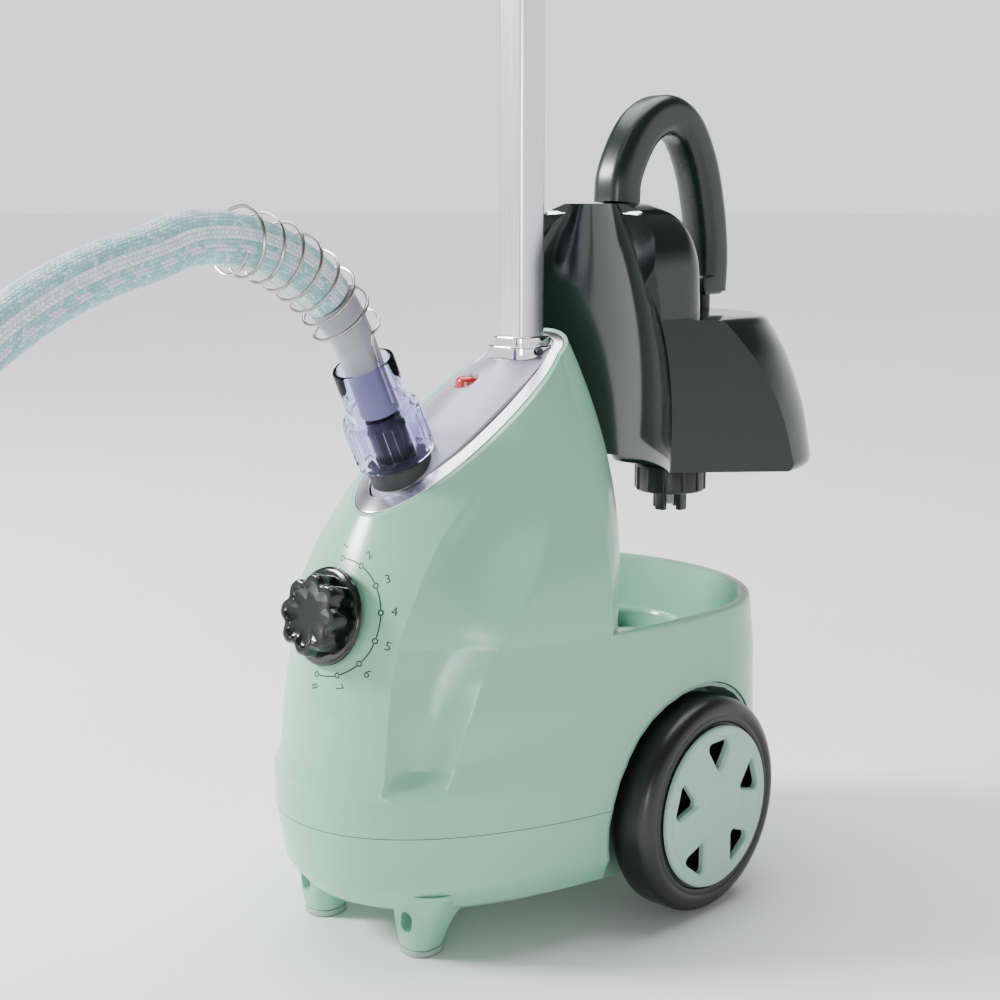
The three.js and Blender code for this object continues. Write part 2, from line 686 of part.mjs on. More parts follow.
add("head_holder", headHolder(), GREY());
for (const [name, side] of [["right", 1], ["left", -1]]) {
  const bar = new THREE.Shape();
  bar.moveTo(-4.4, -4);
  bar.lineTo(130, -30);
  bar.quadraticCurveTo(136, -30, 136, -25);
  bar.lineTo(4, 4.4);
  bar.lineTo(-2, 4.4);
  bar.closePath();
  const arm = join(
    prism(bar, -4.6, 4.6, 4).rotateX(Math.PI / 2),
    drum(2, -8.6, 8.6, "y", 0, 0, 10),
  );
  const turned = side > 0 ? arm : arm.rotateZ(Math.PI);
  add(`hanger_arm_${name}`, turned.translate(HOLDER.armX * side, POLE_Y, HOLDER.armZ), GREY());
}

// ---------------------------------------------------------------- steam outlet and hose end
const alongNut = (...profile) => {
  const g = new THREE.LatheGeometry(profile.map(([r, t]) => new THREE.Vector2(r, t)), 24);
  return stand(g.rotateX(Math.PI / 2), NUT_FOOT, NUT_AXIS);
};
const NUT = { base: 8.8, shoulder: 34, top: 64, baseR: 20.5, topR: 16.5, wall: 2.2 };
add("steam_outlet", alongNut([7, -16], [10, -16], [10, 32], [7, 32], [7, -16]), BLACK());
const gasket = cut(
  alongNut([10.5, -4], [17.5, -4], [17.5, 7.6], [10.5, 7.6], [10.5, -4]),
  dome(2.6, 0.4, -60),
);
add("outlet_gasket", gasket, RUBBER());

function hoseNut() {
  const { base, shoulder, top, baseR, topR, wall } = NUT;
  const sleeve = alongNut(
    [baseR - wall, base],
    [baseR - 1, base],
    [baseR - 1, shoulder],
    [topR, shoulder + 2],
    [topR, top],
    [topR - wall, top],
    [topR - wall, shoulder],
    [baseR - wall, shoulder - 3],
    [baseR - wall, base],
  );
  const ribs = Array.from({ length: 14 }, (_, i) =>
    box(baseR - 1.6, baseR + 0.8, -1.5, 1.5, base + 2, shoulder - 1).rotateZ((i * Math.PI) / 7),
  );
  return join(sleeve, ...ribs.map((rib) => stand(rib, NUT_FOOT, NUT_AXIS)));
}
add("hose_nut", hoseNut(), CLEAR());

const onBend = (degrees) => {
  const a = (degrees * Math.PI) / 180;
  return new THREE.Vector3(0, BEND.y + BEND.r * Math.cos(a), BEND.z + BEND.r * Math.sin(a));
};
const disc = (radius, sides) => {
  const points = Array.from({ length: sides }, (_, i) => {
    const a = ((i + 0.5) * 2 * Math.PI) / sides;
    return new THREE.Vector2(radius * Math.cos(a), radius * Math.sin(a));
  });
  return new THREE.Shape(points);
};
const nutPoint = (t) => NUT_FOOT.clone().addScaledVector(NUT_AXIS, t);
const CUFF_ARC = [BEND.start, 30, 37, BEND.cuffEnd];
const cuffPath = [nutPoint(36), nutPoint(50), ...CUFF_ARC.map(onBend)];
add("hose_cuff", sweep(disc(10.6, 16), cuffPath, 14), GREY());

// The hose leaves the cuff over the bend, hangs to the floor, runs once round and meets the head.
const HANGING = [
  [-275, 364.5],
  [-303, 357],
  [-330, 346.5],
  [-356, 332],
  [-385.8, 309.8],
  [-409.7, 281.4],
  [-426.4, 248.2],
  [-454.6, 170.7],
  [-482.8, 93.2],
  [-500.3, 61.1],
  [-526.7, 35.9],
  [-559.4, 19.8],
  [-595.5, 14.2],
];
const LOOP = { x: -140, y: -624, r: 140 };
const HEAD = { y: LOOP.y + LOOP.r, z: 21.6, from: -110, to: 110 };
const onLoop = (degrees) => {
  const a = (degrees * Math.PI) / 180;
  return new THREE.Vector3(LOOP.x + LOOP.r * Math.cos(a), LOOP.y - LOOP.r * Math.sin(a), HOSE_R + 0.9);
};
const hosePath = [
  ...[BEND.cuffEnd + 1.4, 55, 66, 77, 88, 98].map(onBend),
  ...HANGING.map(([y, z]) => new THREE.Vector3(0, y, z)),
  ...Array.from({ length: 13 }, (_, i) => onLoop(i * 20)),
  new THREE.Vector3(-172, HEAD.y + 1, HOSE_R + 3),
  new THREE.Vector3(HEAD.from - 40, HEAD.y, HEAD.z),
  new THREE.Vector3(HEAD.from - 22.5, HEAD.y, HEAD.z),
];
add("hose_tube", sweep(disc(HOSE_R, 10), hosePath, 56), BRAID());

// Wire spring wound round the hose where it bends most; its tail runs down inside the nut.
function springPoints() {
  const tail = [42, 54, 66].map((t) => nutPoint(t).add(new THREE.Vector3(12.3, 0, 0)));
  const points = [...tail];
  const turns = 8;
  const perTurn = 12;
  for (let i = 0; i <= turns * perTurn; i++) {
    const t = i / (turns * perTurn);
    const degrees = 32 + 53 * t;
    const middle = onBend(degrees);
    const outward = onBend(degrees).sub(new THREE.Vector3(0, BEND.y, BEND.z)).normalize();
    const a = (i / perTurn) * 2 * Math.PI;
    const r = 16.6;
    points.push(
      middle.addScaledVector(outward, r * Math.sin(a)).add(new THREE.Vector3(r * Math.cos(a), 0, 0)),
    );
  }
  return points;
}
add("anti_kink_spring", sweep(disc(0.9, 5), springPoints(), 108), STEEL());

// ---------------------------------------------------------------- steam head
const alongHead = (g) => g.rotateY(Math.PI / 2).translate(0, HEAD.y, HEAD.z);
const oval = (halfHeight, halfWidth, z) =>
  Array.from({ length: 24 }, (_, i) => {
    const a = (i * 2 * Math.PI) / 24;
    return new THREE.Vector3(halfHeight * Math.cos(a), halfWidth * Math.sin(a), z);
  });
function headShell() {
  const skin = loft([
    oval(14, 14, -110),
    oval(16, 16, -96),
    oval(15, 15, -40),
    oval(16, 17, 10),
    oval(18, 30, 40),
    oval(20.6, 42, 70),
    oval(21, 46, 98),
    oval(20, 45, 104),
  ]);
  const room = loft([
    oval(10, 10, -112),
    oval(12, 12, 0),
    oval(15, 26, 42),
    oval(17.5, 38, 70),
    oval(17.5, 42, 106),
  ]);
  const slot = box(-30, 0, -5.4, 5.4, -62, -22);
  return alongHead(cut(skin, room, slot));
}
add("head_shell", headShell(), MINT());
const plateHoles = [-30, -15, 0, 15, 30].map((y) => drum(1.6, 100, 120, "z", 0, y, 8));
const plate = join(
  loft([oval(16.6, 40, 97), oval(16.6, 40, 104.4)]),
  loft([oval(20, 45, 104.4), oval(18.6, 43.6, 109)]),
);
add("head_plate", alongHead(cut(plate, ...plateHoles)), ALUMINIUM());
add("steam_trigger", alongHead(box(-20, -10, -5, 5, -61.4, -22.6)), GREY());
add("head_cuff", alongHead(drum(13.4, -131, -111, "z", 0, 0, 20, 15.4)), RUBBER());

// ---------------------------------------------------------------- inside the housing
add("boiler", join(box(-45, 45, -105, -35, 44, 86), drum(20, 84, 98, "z", 0, -72, 20)), CAST());
add("thermostat", drum(9, 86.5, 96, "z", 32, -50, 16), STEEL());
const steamPath = [
  new THREE.Vector3(0, -72, 98.6),
  new THREE.Vector3(0, -72, 110),
  new THREE.Vector3(0, -78, 140),
  new THREE.Vector3(0, -92, 185),
  nutPoint(-40),
  nutPoint(-17),
];
add("steam_tube", sweep(disc(6, 10), steamPath, 16), GREY());
const seat = cut(
  join(drum(10, 104, 124, "z", 0, VALVE_Y, 16), drum(14, 121.4, 124, "z", 0, VALVE_Y, 20)),
  drum(4.2, 100, 130, "z", 0, VALVE_Y, 12),
);
add("valve_seat", seat, GREY());
const waterPath = [
  new THREE.Vector3(0, VALVE_Y, 103.4),
  new THREE.Vector3(0, VALVE_Y, 94),
  new THREE.Vector3(0, 44, 78),
  new THREE.Vector3(0, 10, 74),
  new THREE.Vector3(0, -34.6, 74),
];
add("water_tube", sweep(disc(5, 10), waterPath, 16), GREY());

// ---------------------------------------------------------------- water tank
// Levels of the tank's outer wall, seated: [z, half width, rear y, front y].
const TANK_FOOT = [
  [RIM_Z + 2, 111, 114],
  [170, 113, 116],
  [200, 107, 112],
  [230, 96, 104],
  [248, 86, 95],
  [252, 82, 91],
];
const TANK_CROWN = [
  [246, 60, 42],
  [266, 58.5, 41],
  [286, 55.5, 39.5],
  [302, 47, 36],
  [311, 36, 30],
  [316, 22, 23],
];
const cornerAt = (z) => towerLevel((z - RIM_Z) / 147);
function tankRing([z, halfWidth, rearY], inset = 0, lift = 0) {
  const level = cornerAt(Math.min(z, 311));
  const frontY = level.cornerY + 15 + inset;
  const wideY = Math.min(20, (rearY + frontY) / 2);
  const points = [];
  const steps = 20;
  const p = 2 / 2.3;
  const slant = Math.asin(Math.min(1, ((wideY - frontY) / 210) ** (1 / p)));
  for (let i = 0; i <= steps; i++) {
    const a = -slant + ((Math.PI + 2 * slant) * i) / steps;
    const s = Math.sin(a);
    const reach = s < 0 ? 210 : rearY - inset - wideY;
    points.push(
      new THREE.Vector3(
        Math.sign(Math.cos(a)) * (halfWidth - inset) * Math.abs(Math.cos(a)) ** p,
        wideY + Math.sign(s) * reach * Math.abs(s) ** p,
        z + lift,
      ),
    );
  }
  return points;
}
const tankSolid = (rows, inset, from, to) =>
  loft(
    rows.map((row, i) =>
      tankRing(row, inset, i === 0 ? from : i === rows.length - 1 ? to : 0),
    ),
  );
const NECK = { x: 0, y: VALVE_Y, r: 19 };

// The flanks are flat and run outwards to the rear, at an angle to the middle plane.
const FLANK = { angle: 43, reach: 57.5 };
function flankTools(inset) {
  const half = (from, to, side) =>
    box(from, to, -260, 260, 120, 340).rotateZ((-side * FLANK.angle * Math.PI) / 180);
  return [
    half(FLANK.reach - inset, 260, 1),
    half(-260, inset - FLANK.reach, -1),
  ];
}

function tankBody() {
  const outside = cut(
    join(tankSolid(TANK_FOOT, 0, 0, 0), tankSolid(TANK_CROWN, 0, 0, 0)),
    towerSolid(-1.5, -1.5, 120),
    ...flankTools(0),
  );
  const inside = cut(
    join(tankSolid(TANK_FOOT, 2.6, 2.6, -2.6), tankSolid(TANK_CROWN, 2.6, -20, -3)),
    towerSolid(-4.4, -4.4, 120),
    ...flankTools(2.6),
  );
  const ovalRing = (w, d, z) =>
    roundedRect(w, d, 16)
      .getPoints(4)
      .slice(0, -1)
      .map((q) => new THREE.Vector3(q.x, q.y + NECK.y + 5, z));
  const skirt = loft([ovalRing(72, 52, 156), ovalRing(76, 56, 159), ovalRing(76, 56, RIM_Z + 3)]);
  const neck = drum(NECK.r, 148, 160, "z", NECK.x, NECK.y, 24);
  const mouth = drum(NECK.r - 3, 140, 175, "z", NECK.x, NECK.y, 24);
  return cut(join(cut(outside, inside), skirt, neck), mouth);
}
const lifted = (g) => g.translate(TANK_LIFT.x, TANK_LIFT.y, TANK_LIFT.z);
add("tank_body", lifted(tankBody()), SMOKED());

function tankCap() {
  const shell = cut(
    drum(21.5, 139, 156, "z", NECK.x, NECK.y, 28),
    drum(NECK.r + 0.4, 142, 160, "z", NECK.x, NECK.y, 28),
    drum(4, 130, 150, "z", NECK.x, NECK.y, 12),
  );
  const ribs = Array.from({ length: 12 }, (_, i) =>
    box(20.8, 22.3, -1.2, 1.2, 140, 154).rotateZ((i * Math.PI) / 6).translate(NECK.x, NECK.y, 0),
  );
  const prongs = [0, 1, 2, 3].map((i) =>
    box(7, 11, -3.4, 3.4, 127, 140).rotateZ((i * Math.PI) / 2).translate(NECK.x, NECK.y, 0),
  );
  return join(shell, ...ribs, ...prongs);
}
add("tank_cap", lifted(cut(tankCap(), drum(30, 155.6, 170, "z", NECK.x, NECK.y))), BLACK());
const plunger = join(
  drum(2.6, 130, 150, "z", NECK.x, NECK.y, 12),
  drum(7, 145.4, 147.4, "z", NECK.x, NECK.y, 16),
);
add("valve_plunger", lifted(plunger), GREY());
const sealRing = cut(
  drum(8.6, 142.4, 145, "z", NECK.x, NECK.y, 20),
  drum(4, 140, 150, "z", NECK.x, NECK.y, 12),
);
add("valve_seal", lifted(sealRing), RUBBER());

function tankHandle() {
  const path = [
    [12, 320],
    [14, 332],
    [32, 359],
    [53, 368],
    [72, 362],
    [87, 342],
    [97, 312],
    [101, 284],
    [100, 262],
  ].map(([y, z]) => new THREE.Vector3(0, y, z));
  const section = roundedRect(21, 22, 7);
  return join(
    sweep(section, path, 16, 2),
    drum(4, 252.4, 266, "z", 0, 86, 12),
    box(-8, 8, 84, 100, 262, 272),
  );
}
add("tank_handle", lifted(tankHandle()), DARK_GREEN());

model.children.forEach((mesh) => mesh.geometry.translate(0, -ORIGIN_Y, 0));
export default model;
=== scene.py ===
import math

import bmesh
import bpy
from mathutils import Matrix, Vector
from mathutils.bvhtree import BVHTree


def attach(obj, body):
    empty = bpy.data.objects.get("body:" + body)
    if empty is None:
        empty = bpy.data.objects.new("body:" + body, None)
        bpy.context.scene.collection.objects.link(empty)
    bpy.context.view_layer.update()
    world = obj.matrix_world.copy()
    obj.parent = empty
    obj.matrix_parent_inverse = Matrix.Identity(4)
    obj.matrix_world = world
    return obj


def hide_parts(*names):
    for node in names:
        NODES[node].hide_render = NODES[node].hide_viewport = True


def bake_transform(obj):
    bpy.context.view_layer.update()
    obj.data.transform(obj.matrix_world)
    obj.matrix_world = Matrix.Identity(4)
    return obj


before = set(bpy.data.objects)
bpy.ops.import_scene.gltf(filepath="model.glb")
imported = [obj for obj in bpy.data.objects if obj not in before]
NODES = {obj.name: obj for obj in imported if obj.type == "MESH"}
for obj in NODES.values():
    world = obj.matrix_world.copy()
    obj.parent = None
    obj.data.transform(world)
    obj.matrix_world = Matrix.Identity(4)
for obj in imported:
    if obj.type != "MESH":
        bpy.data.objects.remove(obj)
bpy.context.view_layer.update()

# Lengths below are in millimetres with the wheel axle at y = 0; at() turns them into the frame.
AXLE_Y = 185


def at(x, y, z):
    return Vector((x, y + AXLE_Y, z)) * 0.001


# ------------------------------------------------------------------ camera
CAMERA = {"azimuth": 43.0, "elevation": 10.0, "distance": 977.3, "focal": 1.705}
TARGET = at(-13.2, -30.5, 218.7)


def make_camera():
    a, e = math.radians(CAMERA["azimuth"]), math.radians(CAMERA["elevation"])
    back = Vector((math.sin(a) * math.cos(e), -math.cos(a) * math.cos(e), math.sin(e)))
    data = bpy.data.cameras.new("camera")
    data.sensor_width = 36
    data.lens = 36 * CAMERA["focal"]
    data.clip_start = 0.01
    camera = bpy.data.objects.new("camera", data)
    bpy.context.scene.collection.objects.link(camera)
    camera.location = TARGET + back * CAMERA["distance"] * 0.001
    camera.rotation_euler = back.to_track_quat("Z", "Y").to_euler()
    bpy.context.scene.camera = camera


make_camera()


# ------------------------------------------------------------------ materials
def new_material(name):
    material = bpy.data.materials.new(name)
    material.use_nodes = True
    tree = material.node_tree
    shader = tree.nodes["Principled BSDF"]
    return material, tree, shader


def node(tree, kind, **inputs):
    made = tree.nodes.new(kind)
    for key, value in inputs.items():
        made.inputs[key.replace("_", " ")].default_value = value
    return made


def ramp(tree, source, stops):
    made = tree.nodes.new("ShaderNodeValToRGB")
    while len(made.color_ramp.elements) < len(stops):
        made.color_ramp.elements.new(0.5)
    for element, (position, color) in zip(made.color_ramp.elements, stops):
        element.position = position
        element.color = (*color, 1)
    tree.links.new(source, made.inputs["Fac"])
    return made.outputs["Color"]


def shade(color, factor):
    return tuple(min(1.0, c * factor) for c in color)


def link_bump(tree, shader, height, strength, distance):
    raised = node(tree, "ShaderNodeBump", Strength=strength, Distance=distance)
    tree.links.new(height, raised.inputs["Height"])
    tree.links.new(raised.outputs["Normal"], shader.inputs["Normal"])


def link_range(tree, source, low, high, target):
    span = node(tree, "ShaderNodeMapRange", To_Min=low, To_Max=high)
    tree.links.new(source, span.inputs["Value"])
    tree.links.new(span.outputs["Result"], target)


def link_tone(tree, shader, source, color, dark, light):
    tone = ramp(tree, source, [(0.3, shade(color, dark)), (0.7, shade(color, light))])
    tree.links.new(tone, shader.inputs["Base Color"])


def noise(tree, place, scale, detail):
    made = node(tree, "ShaderNodeTexNoise", Scale=scale, Detail=detail)
    tree.links.new(place, made.inputs["Vector"])
    return made.outputs["Fac"]


def plastic(name, color, roughness, variation=0.04, grain=420.0, bump=0.02, coat=0.0, metallic=0.0):
    """Moulded plastic: slow colour drift, fine grain in the gloss, faint flow marks."""
    material, tree, shader = new_material(name)
    place = tree.nodes.new("ShaderNodeTexCoord").outputs["Object"]
    fine = noise(tree, place, grain, 2.0)
    link_tone(tree, shader, noise(tree, place, 9.0, 3.0), color, 1 - variation, 1 + variation)
    link_range(tree, fine, max(0.02, roughness - 0.03), roughness + 0.04, shader.inputs["Roughness"])
    link_bump(tree, shader, fine, bump, 0.0004)
    shader.inputs["Coat Weight"].default_value = coat
    shader.inputs["Coat Roughness"].default_value = 0.05
    shader.inputs["Metallic"].default_value = metallic
    return material


def metal(name, color, roughness, streak=(1, 1, 1), scale=60.0, bump=0.03):
    """Metal with fine streaks in its gloss; streak stretches them along an axis."""
    material, tree, shader = new_material(name)
    stretch = node(tree, "ShaderNodeMapping", Scale=streak)
    tree.links.new(tree.nodes.new("ShaderNodeTexCoord").outputs["Object"], stretch.inputs["Vector"])
    lines = noise(tree, stretch.outputs["Vector"], scale, 4.0)
    link_tone(tree, shader, lines, color, 0.93, 1.05)
    link_range(tree, lines, roughness * 0.8, roughness * 1.25, shader.inputs["Roughness"])
    link_bump(tree, shader, lines, bump, 0.0002)
    shader.inputs["Metallic"].default_value = 1.0
    return material


def clear_plastic(name, color):
    material, tree, shader = new_material(name)
    drift = noise(tree, tree.nodes.new("ShaderNodeTexCoord").outputs["Object"], 60.0, 2.0)
    link_tone(tree, shader, drift, color, 0.95, 1.04)
    link_bump(tree, shader, drift, 0.05, 0.0005)
    shader.inputs["Roughness"].default_value = 0.04
    shader.inputs["IOR"].default_value = 1.15
    shader.inputs["Transmission Weight"].default_value = 1.0
    return material


# The sleeve's weave: bands of white stitches, of teal ones, and of teal ones with lilac blocks.
STITCH = {"columns": 40.0, "length": 0.0026, "slant": 0.62, "band": 10.0, "white": 2.5}
LILAC = {"middle": 7.5, "reach": 1.1, "repeat": 6.0, "rows": 2.5, "color": (0.72, 0.66, 0.82)}
TEAL_TONES = [(0.0, (0.20, 0.46, 0.48)), (0.6, (0.33, 0.60, 0.61)), (1.0, (0.62, 0.80, 0.80))]
WHITE_TONES = [(0.0, (0.55, 0.76, 0.77)), (0.35, (0.80, 0.88, 0.89)), (1.0, (0.92, 0.94, 0.95))]
STITCH_SHADOW = (0.16, 0.36, 0.38)


def fill(tree, socket, value):
    """Links a node's output to a socket, or sets a plain value on it."""
    if isinstance(value, tuple):
        socket.default_value = (*value, 1)
    elif isinstance(value, float):
        socket.default_value = value
    else:
        tree.links.new(value, socket)


def braid():
    """Stitches laid out on the sleeve's UV map: u runs round it, v along it in metres."""
    material, tree, shader = new_material("braided_sleeve")

    def math_node(operation, *values):
        made = tree.nodes.new("ShaderNodeMath")
        made.operation = operation
        for socket, value in zip(made.inputs, values):
            fill(tree, socket, value)
        return made.outputs["Value"]

    def mix(factor, a, b):
        made = tree.nodes.new("ShaderNodeMix")
        made.data_type = "RGBA"
        tree.links.new(factor, made.inputs["Factor"])
        for socket, value in zip(made.inputs[6:8], (a, b)):
            fill(tree, socket, value)
        return made.outputs[2]

    uv = tree.nodes.new("ShaderNodeUVMap")
    uv.uv_map = "sleeve"
    parts = tree.nodes.new("ShaderNodeSeparateXYZ")
    tree.links.new(uv.outputs["UV"], parts.inputs["Vector"])
    around, along_hose = parts.outputs["X"], parts.outputs["Y"]

    # Neighbouring columns of stitches slant opposite ways.
    column = math_node("MULTIPLY", around, STITCH["columns"])
    column_index = math_node("FLOOR", column)
    across = math_node("SUBTRACT", column, column_index)
    parity = math_node("MODULO", column_index, 2.0)
    slant = math_node("MULTIPLY", math_node("SUBTRACT", math_node("MULTIPLY", parity, 2.0), 1.0), across)
    straight = math_node("MULTIPLY", along_hose, 1 / STITCH["length"])
    row = math_node("ADD", straight, math_node("MULTIPLY", slant, STITCH["slant"]))
    row_index = math_node("FLOOR", row)
    within = math_node("SUBTRACT", row, row_index)
    arches = [math_node("SINE", math_node("MULTIPLY", t, math.pi)) for t in (across, within)]
    stitch = math_node("POWER", math_node("MAXIMUM", math_node("MULTIPLY", *arches), 0.0), 0.45)

    band = math_node("MODULO", column_index, STITCH["band"])
    lilac_band = math_node("COMPARE", band, LILAC["middle"], LILAC["reach"])
    block_rows = math_node("MODULO", row_index, LILAC["repeat"])
    lilac = math_node("MULTIPLY", lilac_band, math_node("LESS_THAN", block_rows, LILAC["rows"]))
    white_band = math_node("LESS_THAN", band, STITCH["white"])
    cell = tree.nodes.new("ShaderNodeCombineXYZ")
    tree.links.new(column_index, cell.inputs["X"])
    tree.links.new(row_index, cell.inputs["Y"])
    speckle = tree.nodes.new("ShaderNodeTexWhiteNoise")
    tree.links.new(cell.outputs["Vector"], speckle.inputs["Vector"])
    tones = [ramp(tree, speckle.outputs["Value"], stops) for stops in (TEAL_TONES, WHITE_TONES)]
    colour = mix(lilac, mix(white_band, *tones), LILAC["color"])
    lit = node(tree, "ShaderNodeMapRange", To_Min=0.35)
    tree.links.new(stitch, lit.inputs["Value"])
    colour = mix(lit.outputs["Result"], STITCH_SHADOW, colour)
    tree.links.new(colour, shader.inputs["Base Color"])
    link_bump(tree, shader, stitch, 0.7, 0.0006)
    lint = noise(tree, tree.nodes.new("ShaderNodeTexCoord").outputs["Object"], 420.0, 2.0)
    link_range(tree, lint, 0.5, 0.72, shader.inputs["Roughness"])
    shader.inputs["Sheen Weight"].default_value = 0.3
    return material


MINT_COLOR = (0.24, 0.50, 0.37)
MINT = plastic("mint_plastic", MINT_COLOR, 0.2, 0.02)
MINT_CAP = plastic("mint_hub_plastic", (0.34, 0.55, 0.46), 0.30, 0.02)
PAD_RUBBER = plastic("pad_rubber", (0.30, 0.42, 0.36), 0.6, 0.08, bump=0.1)
GLOSS_BLACK = plastic("black_plastic", (0.006, 0.007, 0.007), 0.12, 0.2)
SATIN_BLACK = plastic("satin_black_plastic", (0.008, 0.009, 0.009), 0.35, 0.2)
SMOKED = plastic("smoked_tank_plastic", (0.004, 0.008, 0.007), 0.10, 0.15, bump=0.01, coat=0.0)
HANDLE_GREEN = plastic("handle_plastic", (0.003, 0.012, 0.009), 0.28, 0.2, bump=0.03)
TYRE = plastic("tyre_rubber", (0.006, 0.006, 0.006), 0.32, 0.2, bump=0.05)
RUBBER = plastic("rubber", (0.02, 0.02, 0.021), 0.6, 0.2, bump=0.15)
GREY = plastic("grey_plastic", (0.52, 0.52, 0.54), 0.45, 0.04)
CUFF = plastic("cuff_plastic", (0.28, 0.28, 0.32), 0.42, 0.04)
PANEL = plastic("panel_paint", (0.42, 0.40, 0.48), 0.30, 0.03, grain=900.0, metallic=0.35)
LENS_RED = plastic("lens_plastic", (0.50, 0.02, 0.01), 0.18, 0.25, grain=200.0, coat=0.6)
PRINT = plastic("printed_ink", (0.012, 0.025, 0.02), 0.5, 0.2)
CHROME = metal("chrome", (0.86, 0.86, 0.88), 0.05, scale=40.0, bump=0.005)
TRIM = metal("satin_trim", (0.84, 0.83, 0.87), 0.20, scale=60.0, bump=0.01)
ALUMINIUM = metal("brushed_aluminium", (0.80, 0.79, 0.84), 0.24, (40, 40, 0.6), 30.0)
STEEL = metal("steel", (0.66, 0.64, 0.62), 0.18)
WIRE = metal("spring_wire", (0.42, 0.39, 0.37), 0.22)
CAST = metal("cast_metal", (0.40, 0.40, 0.41), 0.6, scale=260.0, bump=0.5)
CLEAR = clear_plastic("clear_violet_plastic", (0.72, 0.72, 0.97))
BRAID = braid()


# ------------------------------------------------------------------ solids
# A solid is a pair: points in millimetres, and faces that index them, seen from outside
# anticlockwise.
def loft(rings, bottom=True, top=True):
    """Skin through closed rings, anticlockwise from above and listed upwards."""
    count = len(rings[0])
    points = [Vector(p) for ring in rings for p in ring]
    faces = []
    for k in range(len(rings) - 1):
        for i in range(count):
            j = (i + 1) % count
            low, high = k * count, (k + 1) * count
            faces.append((low + i, low + j, high + j, high + i))
    if bottom:
        faces.append(tuple(reversed(range(count))))
    if top:
        faces.append(tuple(range((len(rings) - 1) * count, len(rings) * count)))
    return points, faces


def lathe(profile, sides=72, closed=False):
    """Spins (radius, height) pairs round Z. The outside is listed upwards."""
    rows = profile + (profile[:1] if closed else [])
    rings = [[(x, y, z) for x, y in circle(r, sides)] for r, z in rows]
    return loft(rings, not closed, not closed)


def arc(cx, cz, r, start, end, steps=6):
    """Points of a circular arc, in degrees, for the profile of a lathe."""
    angles = [math.radians(start + (end - start) * i / steps) for i in range(steps + 1)]
    return [(cx + r * math.cos(a), cz + r * math.sin(a)) for a in angles]


def rounded_rect(width, depth, radius, steps=8):
    w, d = width / 2 - radius, depth / 2 - radius
    corners = [(w, d, 0), (-w, d, 90), (-w, -d, 180), (w, -d, 270)]
    return [p for x, y, a in corners for p in arc(x, y, radius, a, a + 90, steps)]


def circle(radius, sides):
    turn = [2 * math.pi * i / sides for i in range(sides)]
    return [(radius * math.cos(a), radius * math.sin(a)) for a in turn]


def resized(outline, by):
    """Moves a convex outline's points in (by < 0) or out, along lines to its centre."""
    scales = [by / max(1e-6, math.hypot(x, y)) for x, y in outline]
    return [(x + x * k, y + y * k) for (x, y), k in zip(outline, scales)]


def prism(outline, low, high, edge=0.0, steps=3):
    """A straight prism along Z, with its end edges rounded by edge."""
    rings = []
    for i in range(steps + 1 if edge else 0):
        a = math.pi / 2 * i / steps
        rings.append((-edge * (1 - math.sin(a)), low + edge * (1 - math.cos(a))))
    rings = rings or [(0.0, low)]
    ends = [(shrink, high - (z - low)) for shrink, z in reversed(rings)]
    return loft([[(x, y, z) for x, y in resized(outline, s)] for s, z in rings + ends])


def block(x0, x1, y0, y1, z0, z1, edge=0.0):
    outline = rounded_rect(abs(x1 - x0), y1 - y0, max(edge, 0.01), 3)
    return shifted(prism(outline, z0, z1, edge), (x0 + x1) / 2, (y0 + y1) / 2)


def moved(solid, matrix):
    return [matrix @ p for p in solid[0]], solid[1]


def shifted(solid, x=0.0, y=0.0, z=0.0):
    return moved(solid, Matrix.Translation((x, y, z)))


def turned(solid, degrees, axis="Z"):
    return moved(solid, Matrix.Rotation(math.radians(degrees), 4, axis))


def mirrored(solid, side=-1):
    if side > 0:
        return solid
    return [Vector((-p.x, p.y, p.z)) for p in solid[0]], [f[::-1] for f in solid[1]]


def along_x(solid):
    """Lays a solid drawn along Z down along X."""
    return [Vector((p.z, p.x, p.y)) for p in solid[0]], solid[1]


def along_y(solid):
    """Lays a solid drawn along Z down along Y."""
    return turned(solid, -90, "X")


def stand(solid, foot, axis):
    turn = Vector((0, 0, 1)).rotation_difference(Vector(axis)).to_matrix().to_4x4()
    return moved(solid, Matrix.Translation(foot) @ turn)


def merge(*solids):
    points, faces = [], []
    for more_points, more_faces in solids:
        start = len(points)
        points += more_points
        faces += [tuple(i + start for i in face) for face in more_faces]
    return points, faces


def spline(points, count):
    """count + 1 evenly spaced points on the centripetal curve through the given ones."""
    p = [Vector(q) for q in points]
    p = [2 * p[0] - p[1]] + p + [2 * p[-1] - p[-2]]
    fine = [p[1]]
    for k in range(1, len(p) - 2):
        a, b, c, d = p[k - 1 : k + 3]
        t0, t1, t2 = ((v - u).length ** 0.5 for u, v in ((a, b), (b, c), (c, d)))
        m1 = ((b - a) / t0 - (c - a) / (t0 + t1) + (c - b) / t1) * t1
        m2 = ((c - b) / t1 - (d - b) / (t1 + t2) + (d - c) / t2) * t1
        for i in range(1, 41):
            t = i / 40
            h = (2 * t**3 - 3 * t**2 + 1, t**3 - 2 * t**2 + t, -2 * t**3 + 3 * t**2, t**3 - t**2)
            fine.append(b * h[0] + m1 * h[1] + c * h[2] + m2 * h[3])
    lengths = [0.0]
    for a, b in zip(fine, fine[1:]):
        lengths.append(lengths[-1] + (b - a).length)
    even, k = [], 0
    for i in range(count + 1):
        want = lengths[-1] * i / count
        while k < len(fine) - 2 and lengths[k + 1] < want:
            k += 1
        share = (want - lengths[k]) / (lengths[k + 1] - lengths[k])
        even.append(fine[k].lerp(fine[k + 1], share))
    return even


